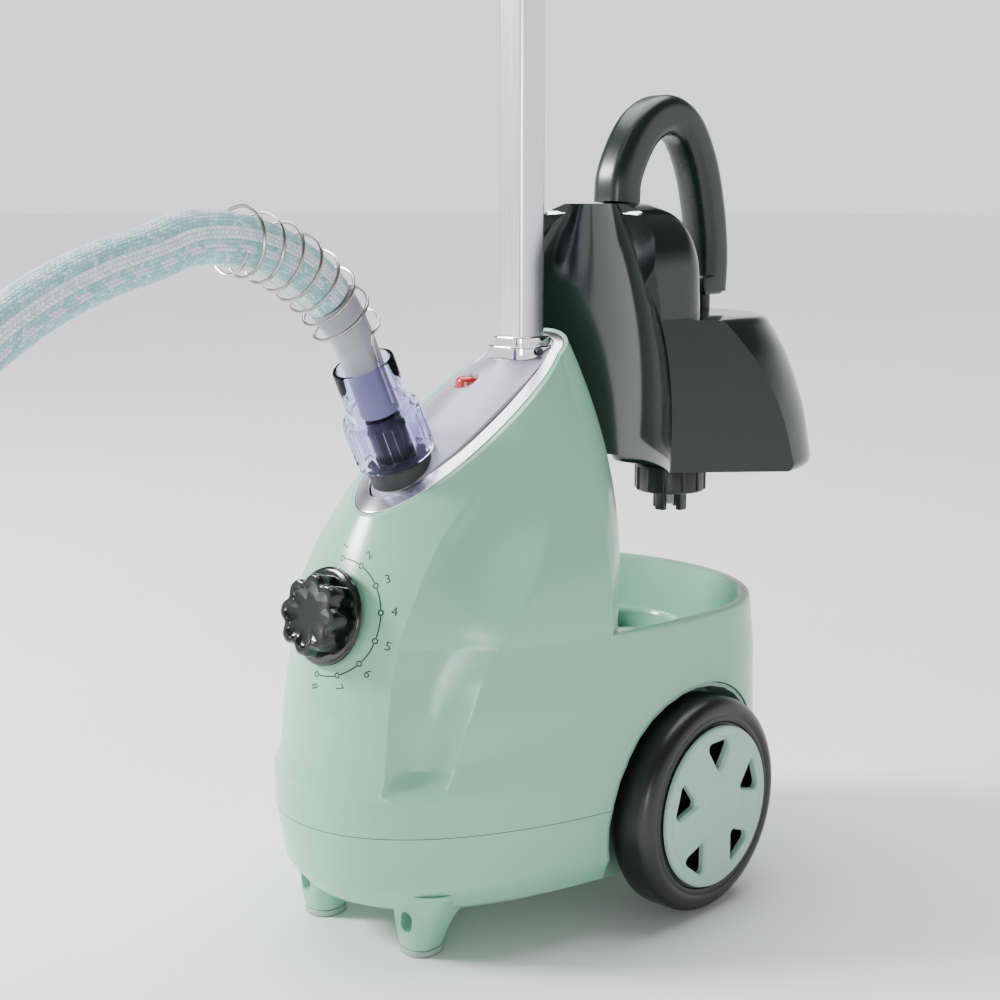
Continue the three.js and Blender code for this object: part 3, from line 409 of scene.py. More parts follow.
def frames(path, side=(1, 0, 0)):
    """(point, side, normal) along a path, carried on without twist."""
    side, made = Vector(side), []
    for i, point in enumerate(path):
        ahead = (path[min(i + 1, len(path) - 1)] - path[max(i - 1, 0)]).normalized()
        side = (side - ahead * side.dot(ahead)).normalized()
        made.append((point, side, ahead.cross(side)))
    return made


def sweep(outline, path, scale=None, side=(1, 0, 0)):
    rings = []
    for i, (point, u, v) in enumerate(frames(path, side)):
        k = scale(i / (len(path) - 1)) if scale else 1.0
        rings.append([point + u * (x * k) + v * (y * k) for x, y in outline])
    return loft(rings)


def as_mesh(solid, weld=0.002):
    mesh = bpy.data.meshes.new("solid")
    mesh.from_pydata(solid[0], [], solid[1])
    work = bmesh.new()
    work.from_mesh(mesh)
    bmesh.ops.remove_doubles(work, verts=work.verts, dist=weld)
    work.to_mesh(mesh)
    work.free()
    return mesh


def combine(base, others, mode):
    """Boolean of solids: DIFFERENCE or UNION."""
    made = [bpy.data.objects.new("work", as_mesh(s)) for s in (base, *others)]
    for ob in made:
        bpy.context.scene.collection.objects.link(ob)
    for tool in made[1:]:
        modifier = made[0].modifiers.new("work", "BOOLEAN")
        modifier.solver = "MANIFOLD"
        modifier.operation = mode
        modifier.object = tool
    bpy.context.view_layer.update()
    done = made[0].evaluated_get(bpy.context.evaluated_depsgraph_get()).to_mesh()
    result = [v.co.copy() for v in done.vertices], [tuple(f.vertices) for f in done.polygons]
    for ob in made:
        mesh = ob.data
        bpy.data.objects.remove(ob)
        bpy.data.meshes.remove(mesh)
    if not result[1]:
        raise ValueError("a boolean left nothing")
    return result


def cut(base, *tools):
    return combine(base, tools, "DIFFERENCE")


def join(*solids):
    return combine(solids[0], solids[1:], "UNION")


def bevelled(solid, width, limit=40, segments=2):
    """Rounds the edges whose faces meet at more than limit degrees."""
    work = bmesh.new()
    mesh = as_mesh(solid)
    work.from_mesh(mesh)
    bmesh.ops.dissolve_limit(work, angle_limit=math.radians(1), verts=work.verts, edges=work.edges)
    edges = [e for e in work.edges if len(e.link_faces) == 2 and e.calc_face_angle(0) > math.radians(limit)]
    bmesh.ops.bevel(
        work,
        geom=edges,
        offset=width,
        offset_type="OFFSET",
        segments=segments,
        profile=0.5,
        affect="EDGES",
        clamp_overlap=True,
    )
    work.to_mesh(mesh)
    work.free()
    result = [v.co.copy() for v in mesh.vertices], [tuple(f.vertices) for f in mesh.polygons]
    bpy.data.meshes.remove(mesh)
    return result


def piece(name, solid, material, body="root", nodes=(), sharp=35):
    """Makes the solid an object that rides on a body, stands for CAD nodes and has a finish."""
    mesh = as_mesh(([at(*p) for p in solid[0]], solid[1]), 2e-6)
    mesh.name = name
    mesh.shade_smooth()
    mesh.set_sharp_from_angle(angle=math.radians(sharp))
    ob = bpy.data.objects.new(name, mesh)
    bpy.context.scene.collection.objects.link(ob)
    mesh.materials.append(material)
    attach(ob, body)
    if nodes:
        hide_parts(*nodes)
    return ob


# ------------------------------------------------------------------ the housing's form
# The CAD's levels, drawn finer. Rings run from the nose over +X; a share goes along each half.
FRONT_STEPS = 72
REAR_STEPS = 44
NOSE_POWER = 2.1
WALL = 3
SEAM_Z = 70
RIM_Z = 164
TIP_Y, TIP_Z, SLOPE, REAR_TIP_Y = -149, 227, 0.62, -5
PANEL_NORMAL = Vector((0, -SLOPE, 1)).normalized()

# Height, nose y, corner x and rear y, without the ledge; the ledge then draws in what is above.
LOWER = [
    (20, -160, 74, 90),
    (27, -174, 88, 104),
    (40, -185, 97, 112),
    (70, -190.5, 101.5, 116),
    (99, -190.5, 102.5, 117.5),
    (130, -187, 102.5, 119),
    (164, -180, 99.5, 114.5),
]
LEDGE_DEPTH = (4.0, 2.5, 0.5)  # at the nose, the corner and the rear
LEDGE_TOP = [(0, 102), (0.21, 101), (0.44, 102), (0.62, 109), (0.75, 114), (1, 118)]
LEDGE_FOOT = [(0, 90), (0.38, 90), (0.67, 91), (0.95, 88), (1, 88)]

# The hollow on each flank lies between two creases: nose height of a level, share of its front.
CREASE_FRONT = [(60, 0.31), (148, 0.31), (176, 0.33), (196, 0.37), (214, 0.45), (221, 0.54), (230, 0.7)]
CREASE_REAR = [
    (60, 0.5),
    (106, 0.53),
    (121, 0.56),
    (148, 0.61),
    (170, 0.68),
    (185, 0.76),
    (194, 0.79),
    (207, 0.86),
    (214, 0.96),
    (230, 0.985),
]
HOLLOW_TOP = [(0.45, 214), (0.54, 221), (0.77, 219), (0.92, 209)]
HOLLOW_DEPTH = 8.0


def along(table, value):
    if value <= table[0][0]:
        return table[0][1]
    for (a, u), (b, v) in zip(table, table[1:]):
        if value <= b:
            return u + (v - u) * (value - a) / (b - a)
    return table[-1][1]


def soften(t):
    t = min(1.0, max(0.0, t))
    return t * t * (3 - 2 * t)


def ledge(z, share):
    foot, top = along(LEDGE_FOOT, share), along(LEDGE_TOP, share)
    t = min(1.0, max(0.0, (z - foot) / (top - foot)))
    return 0.75 * t + 0.25 * soften(t)


def hollow(height, share):
    """How far the flank is pressed in, at a level and a share of its front."""
    start, end = along(CREASE_FRONT, height), along(CREASE_REAR, height)
    if not start < share < end:
        return 0.0
    below = min(1.0, max(0.0, (along(HOLLOW_TOP, share) - height) / 20))
    across = ((share - start) / (end - start)) ** 0.8
    return HOLLOW_DEPTH * math.sin(math.pi * across) * (1 - (1 - below) ** 2)


def level_at(z, draw=1.0):
    """A horizontal level; draw is how much of the ledge's depth it has, from 0 to 1."""
    k = max(1, next((i for i, row in enumerate(LOWER) if row[0] >= z), len(LOWER) - 1))
    low, high = LOWER[k - 1], LOWER[k]
    t = (z - low[0]) / (high[0] - low[0])
    nose, corner, back = (low[i] + t * (high[i] - low[i]) for i in (1, 2, 3))
    at_nose, at_corner, at_back = (depth * draw for depth in LEDGE_DEPTH)
    nose, corner, back = nose + at_nose, corner - at_corner, back - at_back
    return {"nose": (nose, z), "corner": (corner, -62), "wide": 20, "back": (back, z), "bulge": 2}


def tower_level(u):
    curve = u**2.2

    def mix(a, b, t=u):
        return a + (b - a) * t

    return {
        "nose": (mix(-176, TIP_Y, u**1.35), mix(RIM_Z, TIP_Z)),
        "corner": (mix(97, 27, curve), mix(-62, -24, curve)),
        "wide": mix(20, -74, u**0.8),
        "back": (mix(15, REAR_TIP_Y, curve), mix(RIM_Z, TIP_Z + SLOPE * (REAR_TIP_Y - TIP_Y))),
        "bulge": mix(2, 1),
    }


def height_on(level, y):
    (y0, z0), (y1, z1) = level["nose"], level["back"]
    return z0 + (z1 - z0) * (y - y0) / (y1 - y0)


def front_point(level, share, inset=0.0):
    """A point on the outside, from the nose (share 0) to the rear corner (share 1)."""
    p = 2 / NOSE_POWER
    corner_x, corner_y = level["corner"]
    nose_y, wide, back_y = level["nose"][0] + inset, level["wide"], level["back"][0]
    reach = wide - nose_y if corner_y <= wide else back_y - wide
    last = math.acos(min(1.0, (abs(corner_y - wide) / reach) ** (1 / p)))
    angle = last if corner_y <= wide else math.pi - last
    half = (corner_x - inset) / math.sin(angle) ** p
    c = math.cos(angle * share)
    side = wide - nose_y if c >= 0 else back_y - wide
    y = wide - math.copysign(side * abs(c) ** p, c)
    return Vector((half * math.sin(angle * share) ** p, y, height_on(level, y)))


def rear_point(level, share, inset=0.0):
    """A point on the lower housing's rear, from the corner (share 0) to the back (share 1)."""
    p = 2 / NOSE_POWER
    corner_x, corner_y = level["corner"]
    reach = level["wide"] - level["nose"][0] - inset
    start = math.acos(((level["wide"] - corner_y) / reach) ** (1 / p))
    half = (corner_x - inset) / math.sin(start) ** p
    back = level["back"][0] - inset - level["wide"]
    a = start + (math.pi - start) * share
    c = math.cos(a)
    y = level["wide"] - math.copysign((reach if c >= 0 else back) * abs(c) ** p, c)
    x = 0.0 if share >= 1 else half * max(0.0, math.sin(a)) ** p
    return Vector((x, y, level["nose"][1]))


def wall_point(level, share, inset=0.0):
    """A point on the tower's convex back wall, from the corner (share 0) to the middle."""
    a = math.pi / 2 * share
    corner_x, corner_y = level["corner"]
    y = corner_y + (level["back"][0] - inset - corner_y) * math.sin(a) ** level["bulge"]
    x = 0.0 if share >= 1 else (corner_x - inset) * math.cos(a)
    return Vector((x, y, height_on(level, y)))


def whole(half):
    """A ring from its right half, which starts and ends on the middle plane."""
    return half + [Vector((-p.x, p.y, p.z)) for p in reversed(half[1:-1])]


def front_shares(height):
    """Shares that put grid lines on both creases."""
    start, end = along(CREASE_FRONT, height), along(CREASE_REAR, height)
    stops, counts = (0.0, start, end, 1.0), (26, 28, FRONT_STEPS - 54)
    made = [a + (b - a) * i / n for a, b, n in zip(stops, stops[1:], counts) for i in range(n)]
    return made + [1.0]


REAR_SHARES = [i / REAR_STEPS for i in range(1, REAR_STEPS + 1)]


def lower_ring(z, inset=0.0, rim=0.0):
    """A horizontal ring; rim draws in only the part behind the corner."""
    front = []
    for share in front_shares(z):
        draw = ledge(z, share)
        front.append(front_point(level_at(z, draw), share, inset + hollow(z, share) * draw))
    rear = []
    for share in REAR_SHARES:
        level = level_at(z, ledge(z, 1))
        rear.append(rear_point(level, share, inset + rim * min(1.0, share * 8)))
    return whole(front + rear)


def tower_ring(u, inset=0.0, lift=0.0):
    level, height = tower_level(u), RIM_Z + u * (TIP_Z - RIM_Z)
    front = [front_point(level, s, inset + hollow(height, s)) for s in front_shares(height)]
    ring = whole(front + [wall_point(level, s, inset) for s in REAR_SHARES])
    return [p + PANEL_NORMAL * lift for p in ring]


def at_height(ring, z):
    return [Vector((p.x, p.y, z)) for p in ring]


TOWER_STEPS = [(i / 34) ** 0.9 for i in range(35)]


def tower_solid(inset, top_inset, down_to):
    rings = [tower_ring(u, inset) for u in TOWER_STEPS[:-1]]
    low = at_height(tower_ring(0, inset), down_to)
    return loft([low, *rings, tower_ring(1, top_inset), tower_ring(1, top_inset, 6)])


# The panel is domed: highest on the middle line, level with its rim at the edge.
def dome_at(y):
    t = min(1.0, max(0.0, (y - TIP_Y) / (REAR_TIP_Y - TIP_Y)))
    return 14 * math.sin(math.pi * t) ** 1.4


def panel_z(y):
    return TIP_Z + SLOPE * (y - TIP_Y) + dome_at(y)


PANEL_EDGE = [(p.y, p.x) for p in tower_ring(1, 2.6)[: FRONT_STEPS + REAR_STEPS]]


def dome_point(x, y, lift=0.0):
    half = max(along(PANEL_EDGE, y), 0.5)
    share = min(1.0, abs(x) / half)
    return Vector((x, y, TIP_Z + SLOPE * (y - TIP_Y) + dome_at(y) * (1 - share**2) + lift))


def inner_rim(inset, lift):
    made = []
    for p in tower_ring(1, inset, lift):
        near_tip = max(0.0, 1 - (p.y - TIP_Y) / 45)
        made.append(Vector((p.x * (1 - 0.12 * near_tip), p.y + 4 * near_tip, p.z + 2.5 * near_tip)))
    return made


def dome_solid(rim, lift, floor, shares=(1, 0.97, 0.9, 0.75, 0.5, 0.25, 0)):
    """The domed surface over a rim, closed by its own copy lower down."""
    high = [[dome_point(p.x * s, p.y, lift) for p in rim] for s in shares]
    low = [[dome_point(p.x * s, p.y, floor) for p in rim] for s in reversed(shares)]
    return loft(low + high, False, False)


# ------------------------------------------------------------------ hose
NUT_FOOT = Vector((0, -120.5, 248))
NUT_AXIS = Vector((0, -0.42, 0.9075)).normalized()
BEND = {"y": -243.8, "z": 266.8, "r": 104.0}
HOSE_R = 13
LOOP = (-140, -624, 140)
HEAD_Y, HEAD_Z = LOOP[1] + LOOP[2], 21.6
HANGING = [
    (-275, 364.5),
    (-303, 357),
    (-330, 346.5),
    (-356, 332),
    (-385.8, 309.8),
    (-409.7, 281.4),
    (-426.4, 248.2),
    (-454.6, 170.7),
    (-482.8, 93.2),
    (-500.3, 61.1),
    (-526.7, 35.9),
    (-559.4, 19.8),
    (-595.5, 14.2),
]


def nut_point(t):
    return NUT_FOOT + NUT_AXIS * t


def on_bend(degrees):
    a = math.radians(degrees)
    return Vector((0, BEND["y"] + BEND["r"] * math.cos(a), BEND["z"] + BEND["r"] * math.sin(a)))


def on_loop(degrees):
    a = math.radians(degrees)
    return Vector((LOOP[0] + LOOP[2] * math.cos(a), LOOP[1] - LOOP[2] * math.sin(a), HOSE_R + 0.9))


def hose_route():
    """From the cuff over the bend, down to the floor, once round and into the steam head."""
    return [
        *[on_bend(a) for a in (45.4, 55, 66, 77, 88, 98)],
        *[Vector((0, y, z)) for y, z in HANGING],
        *[on_loop(20 * i) for i in range(13)],
        Vector((-172, HEAD_Y + 1, HOSE_R + 3)),
        Vector((-150, HEAD_Y, HEAD_Z)),
        Vector((-132.5, HEAD_Y, HEAD_Z)),
    ]


def make_hose(with_pieces):
    steps, sides = 620, 40
    path = spline(hose_route(), steps)
    points, faces = sweep(circle(HOSE_R, sides), path)
    mesh = bpy.data.meshes.new("braided_hose")
    mesh.from_pydata([at(*p) for p in points], [], faces)
    sleeve = mesh.uv_layers.new(name="sleeve")
    far = [0.0]
    for a, b in zip(path, path[1:]):
        far.append(far[-1] + (b - a).length * 0.001)
    for face in mesh.polygons[: steps * sides]:
        k, i = divmod(face.index, sides)
        corners = ((i, k), (i + 1, k), (i + 1, k + 1), (i, k + 1))
        for loop, (u, v) in zip(face.loop_indices, corners):
            sleeve.data[loop].uv = (u / sides, far[v])
    mesh.shade_smooth()
    mesh.set_sharp_from_angle(angle=math.radians(50))
    hose = bpy.data.objects.new("braided_hose", mesh)
    bpy.context.scene.collection.objects.link(hose)
    mesh.materials.append(BRAID)
    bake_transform(hose)
    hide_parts("hose_tube")


def make_cuff():
    path = spline([nut_point(36), nut_point(50), *[on_bend(a) for a in (24.8, 30, 37, 44)]], 60)

    def scale(t):
        flare = 1 + 0.17 * soften((t - 0.55) / 0.45)
        groove = 0.02 * sum(soften(1 - abs(t - g) / 0.02) for g in (0.62, 0.72, 0.82))
        return flare - groove

    piece("hose_end_cuff", sweep(circle(10.6, 48), path, scale), CUFF, "root", ["hose_cuff"])


def spring_path(per_turn=60, turns=8):
    points = [nut_point(t) + Vector((12.3, 0, 0)) for t in (42, 48, 54, 60, 66)]
    for i in range(turns * per_turn + 1):
        t = i / per_turn / turns
        degrees = 32 + 53 * (t if t < 0.875 else 0.875 + (t - 0.875) * 0.75)
        middle = on_bend(degrees)
        outward = (middle - Vector((0, BEND["y"], BEND["z"]))).normalized()
        a = 2 * math.pi * i / per_turn
        points.append(middle + outward * (16.6 * math.sin(a)) + Vector((16.6 * math.cos(a), 0, 0)))
    return spline(points[:5] + points[5:10:4] + points[14::6], 1100)


def make_spring():
    piece("hose_spring", sweep(circle(0.9, 10), spring_path()), WIRE, "root", ["anti_kink_spring"])


# ------------------------------------------------------------------ steam head
def oval(half_height, half_width, z, sides=64):
    return [(half_height * x, half_width * y, z) for x, y in circle(1, sides)]


def along_head(solid):
    turn = Matrix.Translation((0, HEAD_Y, HEAD_Z)) @ Matrix.Rotation(math.pi / 2, 4, "Y")
    return moved(solid, turn)


def make_steam_head():
    skin = [(14, 14, -110), (15.6, 15.6, -104), (16, 16, -96), (15, 15, -40), (16, 17, 10), (18, 30, 40)]
    skin += [(20.6, 42, 70), (21, 46, 98), (20, 45, 104)]
    room = [(10, 10, -112), (12, 12, 0), (15, 26, 42), (17.5, 38, 70), (17.5, 42, 106)]
    outside = loft([oval(*row) for row in spline(skin, 70)])
    inside = loft([oval(*row) for row in spline(room, 40)])
    shell = cut(outside, inside, block(-30, 0, -5.4, 5.4, -62, -22, 1.5))
    made = [piece("steam_head_shell", along_head(shell), MINT, "steam_head", ["head_shell"])]
    plate_rows = [(16.6, 40, 97), (16.6, 40, 104.4), (20, 45, 104.5), (20, 45, 106.6)]
    plate_rows += [(19.6, 44.6, 108.2), (18.6, 43.6, 109)]
    plate = loft([oval(*row) for row in plate_rows])
    holes = [shifted(lathe([(1.6, 100), (1.6, 120)], 24), y=15 * i) for i in range(-2, 3)]
    plate = along_head(cut(plate, *holes))
    made.append(piece("steam_plate", plate, ALUMINIUM, "steam_head", ["head_plate"]))
    cuff = [(0, -131), (12.6, -131), (13.4, -130.2)]
    for k in range(4):
        r, z = 12.9 + 0.3 * k, -128 + 4 * k
        cuff += [(r + 0.6, z), (r, z + 0.6), (r, z + 1.6), (r + 0.7, z + 2.2)]
    cuff += [(15.2, -112), (15.4, -111.6), (14.6, -111), (0, -111)]
    made.append(piece("steam_head_cuff", along_head(lathe(cuff, 64)), RUBBER, "steam_head", ["head_cuff"]))
    trigger = along_head(block(-20, -10, -5, 5, -61.4, -22.6, 1.6))
    piece("steam_trigger_button", trigger, GREY, "trigger", ["steam_trigger"])
    return made


make_hose(make_steam_head())
make_cuff()
make_spring()


# ------------------------------------------------------------------ housing and base
POLE_Y = -27
WHEEL_R = 60
VALVE_Y = 68
KNOB_AXIS = Vector((0, -1, 0.25)).normalized()
KNOB_FOOT = Vector((0, -172.6, 178))


def upright(radius, low, high, x=0.0, y=0.0, sides=64):
    return shifted(lathe([(radius, low), (radius, high)], sides), x, y)


def wheel_wells():
    return [
        shifted(mirrored(along_x(lathe([(67, 82), (67, 150)], 96)), side), z=WHEEL_R)
        for side in (1, -1)
    ]


def socket_prism(grow=0.0):
    return shifted(prism(rounded_rect(27 + grow, 27 + grow, 8), 256, 313.5 + grow), y=POLE_Y)


def make_housing():
    heights = [SEAM_Z + 0.2 + 2.47 * i for i in range(38)]
    rim = [(162.4, 0.1), (163.1, 0.45), (163.6, 0.9), (163.9, 1.4), (164, 2.0)]
    low = [lower_ring(z) for z in heights] + [lower_ring(z, 0, draw) for z, draw in rim]
    outside = loft(low + [tower_ring(u) for u in TOWER_STEPS])
    room_rows = [(68, SEAM_Z), (99, 99), (126.5, 127)]
    room = loft([at_height(lower_ring(level, WALL), z) for z, level in room_rows])
    bay_rows = [(130, 12), (130.5, 10.4), (131.6, 9.4), (133.5, 9), (161.5, 7.1)]
    bay_rows += [(162.8, 6.7), (163.7, 5.6), (166, 2.8)]
    bay = loft([at_height(lower_ring(RIM_Z, inset), z) for z, inset in bay_rows])
    bay = cut(bay, tower_solid(0, 0, 120))
    shell = cut(outside, room, tower_solid(4, 8, 120), bay, *wheel_wells())
    cup = upright(33, 118, 129, 0, VALVE_Y)
    ring = shifted(lathe([(29, 128), (35.5, 128), (35.5, 131.4), (34.8, 132), (29, 132)]), y=VALVE_Y)
    well = shifted(lathe([(30, 121), (30, 130.6), (31.4, 133)]), y=VALVE_Y)
    seat = loft([tower_ring(1, 2.2, -3.6), tower_ring(1, 2.2, 6)])
    shaft = stand(lathe([(4.6, -12), (4.6, 8)], 32), KNOB_FOOT, KNOB_AXIS)
    hole = upright(10.4, 115, 123, 0, VALVE_Y)
    done = cut(join(shell, cup, ring), well, hole, seat, shaft, socket_prism(0.8))
    return piece("housing", done, MINT, "root", ["main_housing"], sharp=28)


FOOT = {"x": 38, "y": -146, "pad": 3}
# Height, width, depth and how far the section lies behind the pad.
FOOT_ROWS = [
    (3.4, 20, 21, 0),
    (12, 24, 27, 1),
    (18, 27, 31.5, 3),
    (24, 32, 38, 6),
    (32, 42, 52, 11),
    (36, 46, 60, 14),
]
BASE_SCREWS = [(48, -105), (-48, -105), (55, 72), (-55, 72)]
GLAND_Z = 52


def foot_leg(side):
    rings = []
    for z, width, depth, back in smooth_foot():
        outline = rounded_rect(width, depth, min(width, depth) * 0.42)
        rings.append([(x + FOOT["x"] * side, y + FOOT["y"] + back, z) for x, y in outline])
    return loft(rings)


def smooth_foot():
    rows = []
    for i in range(25):
        z = 3.4 + (36 - 3.4) * i / 24
        rows.append((z, *(along([(r[0], r[k]) for r in FOOT_ROWS], z) for k in (1, 2, 3))))
    return rows


def make_base():
    heights = [20, 20.3, 21, 22, 23.5, 25, 27, 29.5, 33, 37, 41, 46, 52, 58, 64, SEAM_Z - 0.2]
    outside = loft([lower_ring(z) for z in heights])
    room_rows = [(23, 20), (30, 27), (43, 40), (71, SEAM_Z)]
    room = loft([at_height(lower_ring(level, WALL), z) for z, level in room_rows])
    holes = [upright(2.6, 18, 26, x, y, 24) for x, y in BASE_SCREWS]
    holes.append(shifted(along_y(lathe([(7.6, 90), (7.6, 130)], 32)), z=GLAND_Z))
    legs = [foot_leg(1), foot_leg(-1)]
    done = join(cut(outside, room, *wheel_wells(), *holes), *legs)
    done = cut(done, *[foot_recess(side) for side in (1, -1)])
    return piece("base_tray", done, MINT, "root", ["base_shell"], sharp=28)


def foot_recess(side):
    """The screw recess in the front of each leg: a round hole with a slot that runs down."""
    x, y, z = RECESS
    hole = prism(rounded_rect(7.5, 11, 3.7), -9, 9)
    return mirrored(stand(hole, (x, y, z), RECESS_AXIS), side)


RECESS = (40, -160, 19)
RECESS_AXIS = (0.15, -1, -0.35)

housing = make_housing()
make_base()
for side, name in ((1, "right"), (-1, "left")):
    pad = shifted(prism(rounded_rect(21, 22, 9), 0, 3, 0.5), FOOT["x"] * side, FOOT["y"])
    piece(f"rubber_foot_{name}", pad, PAD_RUBBER, "root", [f"foot_pad_{name}"])


# ------------------------------------------------------------------ wheels
TYRE_X = (92, 120)


def tyre():
    a, b = TYRE_X
    outer = arc(52.5, a + 7.5, 7.5, -90, 0, 10) + arc(52.5, b - 7.5, 7.5, 0, 90, 10)
    bead = [(50.6, b - 0.5), (50.0, b - 0.9), (49.2, b - 0.7), (47.4, b - 0.8), (46.6, b - 1.4)]
    return lathe([(46.6, a + 2), (48, a + 1)] + outer + bead, 144, True)


def wheel_core():
    a, b = TYRE_X[0] + 1, TYRE_X[1] - 2
    rows = [(4.3, a), (13, a), (13, b - 8), (42, b - 8), (42, a + 1), (46.2, a + 1), (46.2, b)]
    return lathe(rows + [(42, b), (42, b - 5), (13, b - 5), (10, b - 4), (4.3, b - 4)], 96, True)


def window():
    """A rounded triangle that points at the hub, as an outline."""
    corners = [((-6.3, 34.2), 3.0), ((0, 24.2), 2.6), ((6.3, 34.2), 3.0)]
    outline = []
    for k, ((x, y), r) in enumerate(corners):
        before, after = corners[k - 1][0], corners[(k + 1) % 3][0]
        start = math.degrees(math.atan2(x - before[0], -(y - before[1]))) + 180
        end = math.degrees(math.atan2(after[0] - x, -(after[1] - y))) + 180
        if end < start:
            end += 360
        outline += arc(x, y, r, start, end, 8)
    return outline


def hub_cap():
    b = TYRE_X[1]
    rim = [(0, -1.6), (44.4, -1.6), (45, -1), (45, 0.6), (44.6, 1.5), (43.8, 2.1), (42.4, 2.4)]
    face = [(41.2, 2.2), (40.2, 1.7), (39.2, 1.9), (36, 2.5), (30, 3.1), (20, 3.3), (17.4, 3.3)]
    boss = [(16.6, 3.4), (15.6, 3.9), (14.4, 4), (0, 4)]
    disc = lathe([(r, b + z) for r, z in rim + face + boss], 120)
    outline = window()
    holes = []
    for i in range(5):
        # Each window flares towards the outside.
        rings = [(110, 0.0), (b + 1.2, 0.0), (b + 2.6, 0.9), (b + 4.4, 2.6)]
        flare = loft([[(x, y, z) for x, y in resized_about(outline, (0, 31), grow)] for z, grow in rings])
        holes.append(turned(flare, 72 * i))
    return cut(disc, *holes)


def resized_about(outline, centre, by):
    cx, cy = centre
    return [(x + cx, y + cy) for x, y in resized([(x - cx, y - cy) for x, y in outline], by)]


def make_wheels():
    for side, name in ((1, "right"), (-1, "left")):
        body = f"wheel_{name}"

        def place(solid):
            # The cap's first window points up on both wheels.
            return shifted(mirrored(along_x(turned(solid, 90)), side), z=WHEEL_R)

        piece(f"tyre_tread_{name}", place(tyre()), TYRE, body, [f"tyre_{name}"])
        piece(f"wheel_rim_{name}", place(wheel_core()), SATIN_BLACK, body, [f"wheel_core_{name}"])
        cap = turned(hub_cap(), -90)
        piece(f"hub_cover_{name}", place(cap), MINT_CAP, body, [f"hub_cap_{name}"], sharp=24)


make_wheels()


# ------------------------------------------------------------------ knob and its dial
def lobed(radius, wave, lobes=8, steps=160):
    made = []
    for i in range(steps):
        a = 2 * math.pi * i / steps
        r = radius - wave * (0.5 - 0.5 * math.cos(lobes * a)) ** 1.6
        made.append((r * math.cos(a), r * math.sin(a)))
    return made


def make_knob():
    base = lathe([(0, 1), (24.8, 1), (25.5, 1.7), (25.5, 2.6), (25.1, 3.3), (24.0, 4), (0, 4)], 120)
    rows = [(20.9, 3.2, 3.4), (21.1, 3.2, 5), (21.2, 3.3, 12.6), (20.9, 3.3, 14.6), (20.1, 3.2, 15.7)]
    rows += [(19, 3, 16), (17.2, 2.7, 15.8), (16.2, 2.6, 14.9), (15.2, 2.4, 14.4), (6, 0.6, 14.2)]
    rows += [(0.01, 0, 14.2)]
    grip = loft([[(x, y, z) for x, y in lobed(r, wave)] for r, wave, z in rows])
    room = lathe([(4.2, 0), (4.2, 12)], 32)
    solid = stand(cut(join(base, grip), room), KNOB_FOOT, KNOB_AXIS)
    piece("steam_knob", solid, GLOSS_BLACK, "knob", ["control_knob"])


make_knob()

DIAL = {"r": 30.5, "line": 0.36, "ring": 1.25, "stops": 8, "first": 96, "last": -96}
DIGITS = {"r": 37.0, "size": 6.6, "lean": 0.75}


def digit_shape(digit):
    """The flat outline of a number in the built-in font, centred, as points and faces."""
    text = bpy.data.curves.new("digit", "FONT")
    text.body, text.size, text.align_x, text.align_y = str(digit), DIGITS["size"], "CENTER", "CENTER"
    ob = bpy.data.objects.new("digit", text)
    bpy.context.scene.collection.objects.link(ob)
    bpy.context.view_layer.update()
    flat = ob.evaluated_get(bpy.context.evaluated_depsgraph_get()).to_mesh()
    shape = [v.co.copy() for v in flat.vertices], [tuple(f.vertices) for f in flat.polygons]
    bpy.data.objects.remove(ob)
    return shape


def make_dial():
    """A printed arc with a ring and a number at each setting, laid on the housing's front."""
    tree = BVHTree.FromObject(housing, bpy.context.evaluated_depsgraph_get())
    up = KNOB_AXIS.cross(Vector((1, 0, 0)))

    def on_housing(x, y):
        start = at(*(KNOB_FOOT + Vector((1, 0, 0)) * x + up * y + KNOB_AXIS * 40))
        place, normal, _, _ = tree.ray_cast(start, -KNOB_AXIS)
        return (place + normal * 0.00006) * 1000 - Vector((0, AXLE_Y, 0))

    def line(points):
        made, count, half = [], len(points), DIAL["line"]
        for i, (x, y) in enumerate(points):
            before, after = points[max(i - 1, 0)], points[min(i + 1, count - 1)]
            dx, dy = after[0] - before[0], after[1] - before[1]
            k = half / max(1e-6, math.hypot(dx, dy))
            made += [on_housing(x - dy * k, y + dx * k), on_housing(x + dy * k, y - dx * k)]
        return made, [(2 * i, 2 * i + 1, 2 * i + 3, 2 * i + 2) for i in range(count - 1)]

    stops = DIAL["stops"]
    step = (DIAL["last"] - DIAL["first"]) / (stops - 1)
    marks = []
    for k in range(stops):
        a = DIAL["first"] + step * k
        around = math.radians(a)
        x, y = DIAL["r"] * math.cos(around), DIAL["r"] * math.sin(around)
        marks.append(line(arc(x, y, DIAL["ring"], 0, 360, 20)))
        if k < stops - 1:
            marks.append(line(arc(0, 0, DIAL["r"], a + step * 0.12, a + step * 0.88, 16)))
        points, faces = digit_shape(k + 1)
        middle = Vector((math.cos(around), math.sin(around), 0)) * DIGITS["r"]
        lean = Matrix.Rotation(around * DIGITS["lean"], 3, "Z")
        placed = [middle + lean @ p for p in points]
        marks.append(([on_housing(p.x, p.y) for p in placed], faces))
    piece("dial_print", merge(*marks), PRINT)


make_dial()


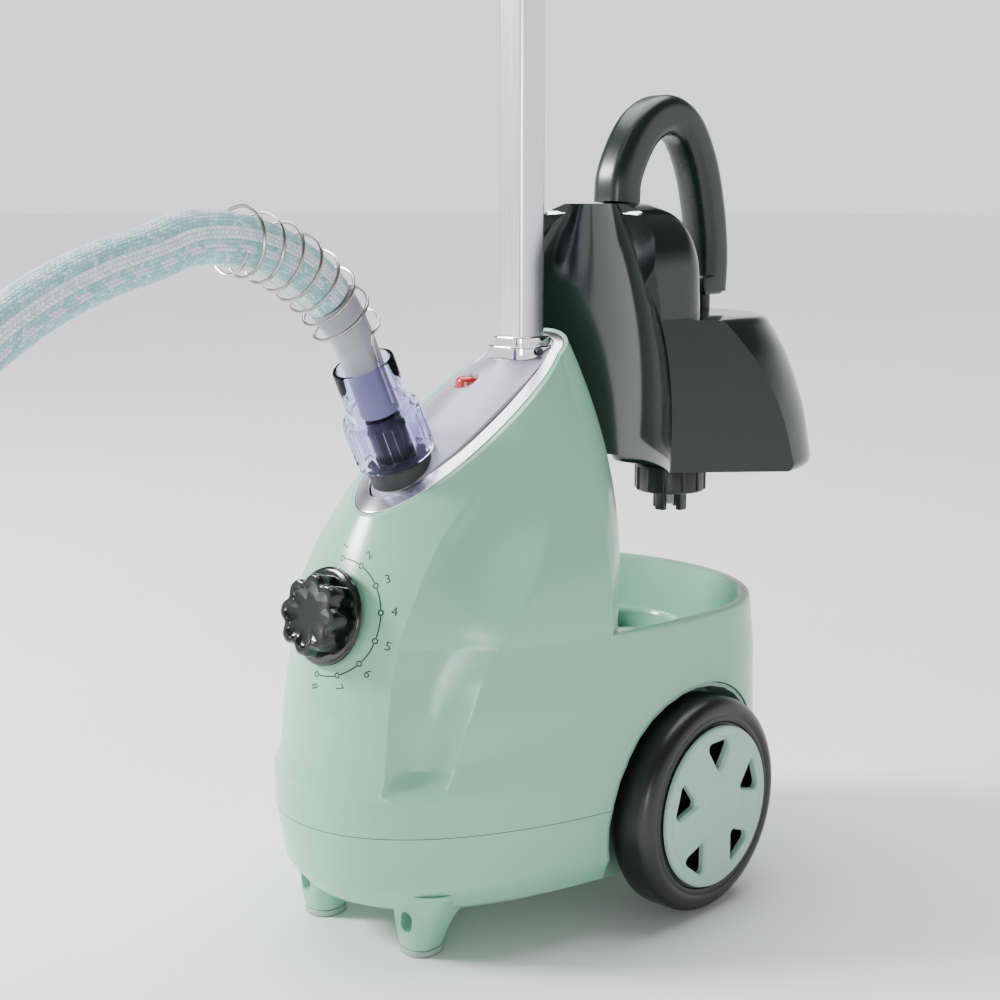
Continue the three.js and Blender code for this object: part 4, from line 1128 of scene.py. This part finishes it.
# ------------------------------------------------------------------ panel
def make_panel():
    steps = [(2.6, -3.2), (2.6, 0.0), (2.75, 0.35), (3.1, 0.55)]
    rings = [tower_ring(1, inset, lift) for inset, lift in steps]
    inner_steps = [(6.5, 2.3), (6.9, 2.45), (7.2, 2.3), (7.3, 1.9), (7.4, -2.2)]
    rings += [inner_rim(inset, lift) for inset, lift in inner_steps]
    rings.append(tower_ring(1, 5, -3.2))
    rings.append(rings[0])
    trim = cut(loft(rings, False, False), socket_prism(0.8))
    piece("panel_bezel", trim, TRIM, "root", ["panel_trim"], sharp=30)
    plate = dome_solid(inner_rim(7.8, 0), 0.0, -2.6)
    lens_z = panel_z(LENS["y"])
    tools = [
        stand(lathe([(10.6, -25), (10.6, 20)]), NUT_FOOT, NUT_AXIS),
        upright(LENS["r"] + 0.4, lens_z - 30, lens_z + 20, LENS["x"], LENS["y"]),
        socket_prism(0.8),
    ]
    piece("control_panel", cut(plate, *tools), PANEL, "root", ["top_panel"], sharp=30)
    r = LENS["r"]
    rows = [(0, -6), (r, -6), (r, -0.8), (r - 0.3, 0.2), (r - 1.2, 1.2), (r - 2.6, 1.8)]
    rows += [(r - 4.4, 2.2), (0, 2.3)]
    piece("signal_lens", shifted(lathe(rows), LENS["x"], LENS["y"], lens_z), LENS_RED, "root",
          ["indicator_lens"])


LENS = {"x": -4, "y": -67, "r": 6.4}


# ------------------------------------------------------------------ pole
TUBES = [("lower", 20, 262, 780), ("middle", 16.8, 300, 832), ("upper", 13.6, 316, 884)]


def tube_outline(size):
    return rounded_rect(size, size, size * 0.2, 8)


def tube_room(size, low, high):
    return shifted(prism(tube_outline(size), low, high), y=POLE_Y)


def make_pole():
    flange = shifted(prism(rounded_rect(35, 33, 12, 10), 280, 308.5, 1.1, 5), y=POLE_Y)
    flange = cut(flange, dome_solid(tower_ring(1, 2.6), 0.4, -60))
    neck = shifted(prism(rounded_rect(27, 27, 8, 10), 256, 313.5, 1.0, 5), y=POLE_Y)
    socket = cut(join(neck, flange), tube_room(20.8, 261.6, 315))
    piece("pole_collar", socket, CHROME, "root", ["pole_socket"], sharp=30)
    screw = lathe([(0, 17.9), (2.2, 17.9), (2.2, 19.4), (1.8, 20), (0, 20)], 32)
    screw = shifted(along_x(screw), y=POLE_Y - 6, z=305.8)
    piece("collar_screw", screw, SATIN_BLACK, "root", ["socket_screw"])
    for (name, size, low, high), body in zip(TUBES, ("root", "pole_mid", "pole_top")):
        tube = cut(tube_room(size, low, high), tube_room(size - 2.4, low - 1, high + 1))
        piece(f"pole_tube_{name}", tube, ALUMINIUM, body, [f"pole_{name}"], sharp=30)


make_panel()
make_pole()


# ------------------------------------------------------------------ clamps, holder and arms
PIVOT_X, PIVOT_DROP = 21.2, 15


def across(radius, reach, x, z, sides=32):
    """A round bar along Y, centred on the pole."""
    return shifted(along_y(lathe([(radius, -reach), (radius, reach)], sides)), x, POLE_Y, z)


def make_clamps():
    for index, (body, lever_body) in enumerate((("root", "lever_low"), ("pole_mid", "lever_up"))):
        (name, size, _, end), inner = TUBES[index], TUBES[index + 1]
        level = ("lower", "upper")[index]
        bottom, top = end - 20, end + 26
        pivot = top - PIVOT_DROP
        middles = [POLE_Y + 9.6 * s for s in (1, -1)]
        ears = [block(15, 25, y - 1.6, y + 1.6, pivot - 4, pivot + 4, 0.7) for y in middles]
        case = shifted(prism(rounded_rect(33, 31, 7), bottom, top, 1.6, 4), y=POLE_Y)
        case = cut(join(case, *ears), tube_room(size + 0.8, bottom - 1, end + 0.4),
                   tube_room(inner[1] + 0.8, bottom - 1, top + 1), across(1.9, 20, PIVOT_X, pivot))
        piece(f"clamp_case_{level}", case, GREY, body, [f"clamp_{level}"])
        grip = block(PIVOT_X - 2.6, PIVOT_X + 3.6, POLE_Y - 7.4, POLE_Y + 7.4, pivot - 30, pivot, 1.2)
        lever = join(across(3.6, 7.4, PIVOT_X, pivot), across(1.6, 11, PIVOT_X, pivot), grip)
        piece(f"clamp_flip_{level}", lever, GREY, lever_body, [f"clamp_lever_{level}"])


HOLDER = {"low": 864, "top": 904, "arm_x": 23, "arm_z": 886}


def make_holder():
    fork = [(-24, 0), (24, 0), (30, 34), (23, 34), (17, 10), (-17, 10), (-23, 34), (-30, 34)]
    prongs = bevelled(turned(prism(fork, 0, 12), 90, "X"), 1.4)
    prongs = shifted(prongs, y=POLE_Y - 12, z=HOLDER["top"] - 12)
    z = HOLDER["arm_z"]
    middles = [POLE_Y + 7 * t for t in (1, -1)]
    lugs = [block(x, x + 13, y - 1.8, y + 1.8, z - 5, z + 5, 0.7) for x in (15, -28) for y in middles]
    case = shifted(prism(rounded_rect(36, 30, 8), HOLDER["low"], HOLDER["top"], 1.6, 4), y=POLE_Y)
    case = join(case, prongs, *lugs)
    tools = [tube_room(TUBES[2][1] + 0.8, HOLDER["low"] - 1, TUBES[2][3] + 0.4)]
    tools += [across(2.3, 20, HOLDER["arm_x"] * s, z) for s in (1, -1)]
    piece("holder_fork", cut(case, *tools), GREY, "pole_top", ["head_holder"])
    for side, name in ((1, "right"), (-1, "left")):
        bar = [(-4.4, -4), (130, -30), (134.5, -29.4), (136, -27), (135.6, -24.6), (4, 4.4), (-2, 4.4)]
        arm = bevelled(turned(prism(bar, -4.6, 4.6), 90, "X"), 1.2)
        pin = along_y(lathe([(2, -8.6), (2, 8.6)], 32))
        solid = shifted(mirrored(join(arm, pin), side), HOLDER["arm_x"] * side, POLE_Y, z)
        piece(f"hanger_bar_{name}", solid, GREY, f"arm_{name}", [f"hanger_arm_{name}"])


make_clamps()
make_holder()


# ------------------------------------------------------------------ steam outlet and nut
def on_nut(solid):
    return stand(solid, NUT_FOOT, NUT_AXIS)


def make_outlet():
    stem = lathe([(7, -16), (10, -16), (10, 8), (9.3, 9), (10, 10), (10, 31), (9.4, 32), (7, 32)], 64, True)
    piece("outlet_stem", on_nut(stem), SATIN_BLACK, "root", ["steam_outlet"])
    ring = lathe([(10.5, -4), (17.5, -4), (17.5, 6.6), (16.9, 7.4), (16, 7.6), (10.5, 7.6)], 72, True)
    ring = cut(on_nut(ring), dome_solid(tower_ring(1, 2.6), 0.4, -60))
    piece("outlet_ring", ring, RUBBER, "root", ["outlet_gasket"])
    skirt = [(18.3, 8.8), (20.2, 8.8), (21, 9.5), (21, 11.6), (20.3, 12.3), (19.5, 12.6), (19.5, 32.2)]
    shoulder = [(20.6, 32.8), (20.8, 33.4), (20.8, 35.2), (20.2, 36), (17.6, 36.6), (16.9, 37.2)]
    collar = [(16.5, 38.4), (16.5, 63.3), (16.1, 64), (14.7, 64)]
    bore = [(14.3, 63.4), (14.3, 34.4), (17.8, 31.4), (18.3, 30.4)]
    sleeve = lathe(skirt + shoulder + collar + bore, 112, True)
    rib = shifted(prism(rounded_rect(3.2, 4.4, 1.5, 5), 11, 34, 0.5), x=19.6)
    nut = join(sleeve, *[turned(rib, 360 / 14 * i) for i in range(14)])
    piece("clear_nut", on_nut(nut), CLEAR, "nut", ["hose_nut"], sharp=40)


make_outlet()


# ------------------------------------------------------------------ water tank
TANK_LIFT = Vector((0, 44, 70))
# Height, half width and rear y of the tank's foot, and of the crown that stands on it.
TANK_FOOT = [(166, 111, 114), (170, 113, 116), (200, 107, 112), (230, 96, 104), (248, 86, 95)]
TANK_FOOT += [(252, 82, 91)]
TANK_CROWN = [(246, 60, 42), (266, 58.5, 41), (286, 55.5, 39.5), (302, 47, 36), (311, 36, 30)]
TANK_CROWN += [(316, 22, 23)]
FLANK = {"angle": 43, "reach": 57.5}
FRONT_REACH = 210  # half the length of the oval whose flatter part is the tank's front


def tank_ring(z, half_width, rear_y, inset=0.0, height=None, steps=120):
    level = tower_level((min(z, 311) - RIM_Z) / 147)
    front_y = level["corner"][1] + 15 + inset
    wide = min(20, (rear_y + front_y) / 2)
    p = 2 / 2.3
    slant = math.asin(min(1.0, ((wide - front_y) / FRONT_REACH) ** (1 / p)))
    ring = []
    for i in range(steps + 1):
        a = -slant + (math.pi + 2 * slant) * i / steps
        s, c = math.sin(a), math.cos(a)
        reach = FRONT_REACH if s < 0 else rear_y - inset - wide
        x = math.copysign((half_width - inset) * abs(c) ** p, c)
        y = wide + math.copysign(reach * abs(s) ** p, s)
        ring.append(Vector((x, y, z if height is None else height)))
    return ring


def rows_between(rows, count):
    made = []
    for i in range(count + 1):
        z = rows[0][0] + (rows[-1][0] - rows[0][0]) * i / count
        made.append((z, *(curve_at([(r[0], r[k]) for r in rows], z) for k in (1, 2))))
    return made


def curve_at(table, value):
    """Like along(), on a smooth curve through the table."""
    k = max(1, next((i for i, row in enumerate(table) if row[0] >= value), len(table) - 1))
    (a, u), (b, v) = table[k - 1], table[k]

    def slope(i):
        i, j = max(0, i - 1), min(len(table) - 1, i + 1)
        return (table[j][1] - table[i][1]) / (table[j][0] - table[i][0])

    t, span = (value - a) / (b - a), b - a
    h = (2 * t**3 - 3 * t**2 + 1, t**3 - 2 * t**2 + t, -2 * t**3 + 3 * t**2, t**3 - t**2)
    return u * h[0] + slope(k - 1) * span * h[1] + v * h[2] + slope(k) * span * h[3]


def flank_tools(inset=0.0):
    """Half-spaces beyond the two flat flanks, which run outwards to the rear."""
    half = block(FLANK["reach"] - inset, 260, -260, 260, 120, 340)
    right = turned(half, -FLANK["angle"])
    return [right, mirrored(right)]


def lifted(solid):
    return shifted(solid, *TANK_LIFT)


def make_tank():
    foot_rows = rows_between(TANK_FOOT[1:-1], 30)
    edge = [(166, 110.6, 113.6), (167, 111.8, 114.8), (168.4, 112.6, 115.6)]
    shoulder = [(249.6, 85, 94), (251, 83.6, 92.4), (252, 81, 89.4)]
    foot = loft([tank_ring(*row) for row in edge + foot_rows + shoulder])
    crown = loft([tank_ring(*row) for row in rows_between(TANK_CROWN, 40)])
    outside = cut(join(foot, crown), tower_solid(-1.5, -1.5, 120), *flank_tools())
    room_foot = [tank_ring(z, w, y, 2.6) for z, w, y in rows_between(TANK_FOOT, 16)]
    room_foot[0] = tank_ring(*TANK_FOOT[0], 2.6, 168.6)
    room_foot[-1] = tank_ring(*TANK_FOOT[-1], 2.6, 249.4)
    room_crown = [tank_ring(z, w, y, 2.6) for z, w, y in rows_between(TANK_CROWN, 16)]
    room_crown[0] = tank_ring(*TANK_CROWN[0], 2.6, 226)
    room_crown[-1] = tank_ring(*TANK_CROWN[-1], 2.6, 313)
    inside = cut(join(loft(room_foot), loft(room_crown)), tower_solid(-4.4, -4.4, 120), *flank_tools(2.6))

    def skirt_ring(width, depth, z):
        return [(x, y + VALVE_Y + 5, z) for x, y in rounded_rect(width, depth, 16, 10)]

    skirt_rows = [(71, 51, 156), (73.4, 53.4, 156.6), (74.6, 54.6, 157.6), (76, 56, 160), (76, 56, 167)]
    skirt = loft([skirt_ring(*row) for row in skirt_rows])
    neck = upright(19, 148, 160, 0, VALVE_Y)
    mouth = upright(16, 140, 175, 0, VALVE_Y)
    body = cut(join(cut(outside, inside), skirt, neck), mouth)
    piece("tank_shell", lifted(body), SMOKED, "tank", ["tank_body"], sharp=26)


def at_valve(solid):
    return lifted(shifted(solid, y=VALVE_Y))


def make_tank_cap():
    rows = [(4, 139), (20.7, 139), (21.5, 139.8), (21.5, 154.6), (20.9, 155.6), (19.4, 155.6)]
    shell = lathe(rows + [(19.4, 142), (4, 142)], 96, True)
    rib = shifted(prism(rounded_rect(3, 2.4, 0.9, 4), 140, 154, 0.4), x=21)
    prong = shifted(prism(rounded_rect(4, 6.8, 0.8, 4), 127, 140, 0.6), x=9)
    around = [turned(rib, 30 * i) for i in range(12)] + [turned(prong, 90 * i) for i in range(4)]
    piece("tank_screw_cap", at_valve(join(shell, *around)), SATIN_BLACK, "cap", ["tank_cap"])


def make_handle():
    path = [(12, 316.3), (14, 332), (32, 359), (53, 368), (72, 362), (87, 342), (97, 312)]
    path += [(101, 284), (100, 262)]
    path = spline([(0, y, z) for y, z in path], 120)
    body = sweep(rounded_rect(24, 24, 8, 8), path)
    post = upright(4.6, 251, 266, 7, 89, 40)
    bridge = block(-9, 12, 84, 104, 260, 272, 2)
    solid = lifted(join(body, post, bridge))
    piece("carry_handle", solid, HANDLE_GREEN, "tank", ["tank_handle"])


make_tank()
make_tank_cap()
make_handle()


# ------------------------------------------------------------------ CAD pieces that stay
def dress(material, *names):
    for name in names:
        for place in NODES[name].material_slots:
            place.material = material


DARK_MINT = plastic("dark_mint_plastic", (0.20, 0.36, 0.29), 0.4, 0.05)
dress(DARK_MINT, "wheel_arch_right", "wheel_arch_left")
dress(STEEL, "axle", "axle_cap_right", "axle_cap_left", "knob_shaft", "thermostat")
dress(STEEL, *[f"base_screw_{i}" for i in (1, 2, 3, 4)])
dress(SATIN_BLACK, "cord_gland", "axle_bracket_right", "axle_bracket_left", "control_switch")
dress(CAST, "boiler")
dress(GREY, "steam_tube", "valve_seat", "water_tube", "valve_plunger")
dress(RUBBER, "valve_seal")

# ------------------------------------------------------------------ stage
FLOOR_REACH = 40.0


def make_stage():
    """A plain pale floor that runs to the horizon."""
    mesh = bpy.data.meshes.new("floor")
    r = FLOOR_REACH
    mesh.from_pydata([(x, y, -0.0005) for x, y in ((-r, -r), (r, -r), (r, r), (-r, r))], [], [(0, 1, 2, 3)])
    floor = bpy.data.objects.new("floor", mesh)
    bpy.context.scene.collection.objects.link(floor)
    material, tree, shader = new_material("floor_paper")
    drift = noise(tree, tree.nodes.new("ShaderNodeTexCoord").outputs["Object"], 3.0, 2.0)
    tone = ramp(tree, drift, [(0.3, (0.84, 0.84, 0.84)), (0.7, (0.87, 0.87, 0.87))])
    tree.links.new(tone, shader.inputs["Base Color"])
    shader.inputs["Roughness"].default_value = 0.9
    shader.inputs["Specular IOR Level"].default_value = 0.1
    mesh.materials.append(material)


def add_light(name, kind, where, aim, energy):
    light = bpy.data.lights.new(name, kind)
    light.energy = energy
    lamp = bpy.data.objects.new(name, light)
    bpy.context.scene.collection.objects.link(lamp)
    lamp.location = where
    lamp.rotation_euler = (Vector(where) - Vector(aim)).to_track_quat("Z", "Y").to_euler()
    return light


def make_lights():
    """A studio that is bright at the horizon and dim overhead, a soft overhead sun and two lamps."""
    world = bpy.data.worlds.new("studio")
    world.use_nodes = True
    tree = world.node_tree
    direction = tree.nodes.new("ShaderNodeSeparateXYZ")
    tree.links.new(tree.nodes.new("ShaderNodeTexCoord").outputs["Generated"], direction.inputs["Vector"])
    white, dim = (1.0, 1.0, 1.0), (0.14, 0.14, 0.14)
    sky = ramp(tree, direction.outputs["Z"], [(0.0, white), (0.16, white), (0.42, dim)])
    tree.links.new(sky, tree.nodes["Background"].inputs["Color"])
    tree.nodes["Background"].inputs["Strength"].default_value = 1.4
    bpy.context.scene.world = world
    sun = add_light("overhead", "SUN", (-0.6, 0.5, 2.0), (0, 0, 0), 4.0)
    sun.angle = math.radians(60)
    key = add_light("key", "AREA", (-1.6, -1.3, 1.5), (0, 0.1, 0.2), 115)
    key.size = 0.6
    front = add_light("front", "AREA", (1.2, -1.9, 0.5), (0, 0.1, 0.2), 10)
    front.size = 0.5


make_stage()
make_lights()
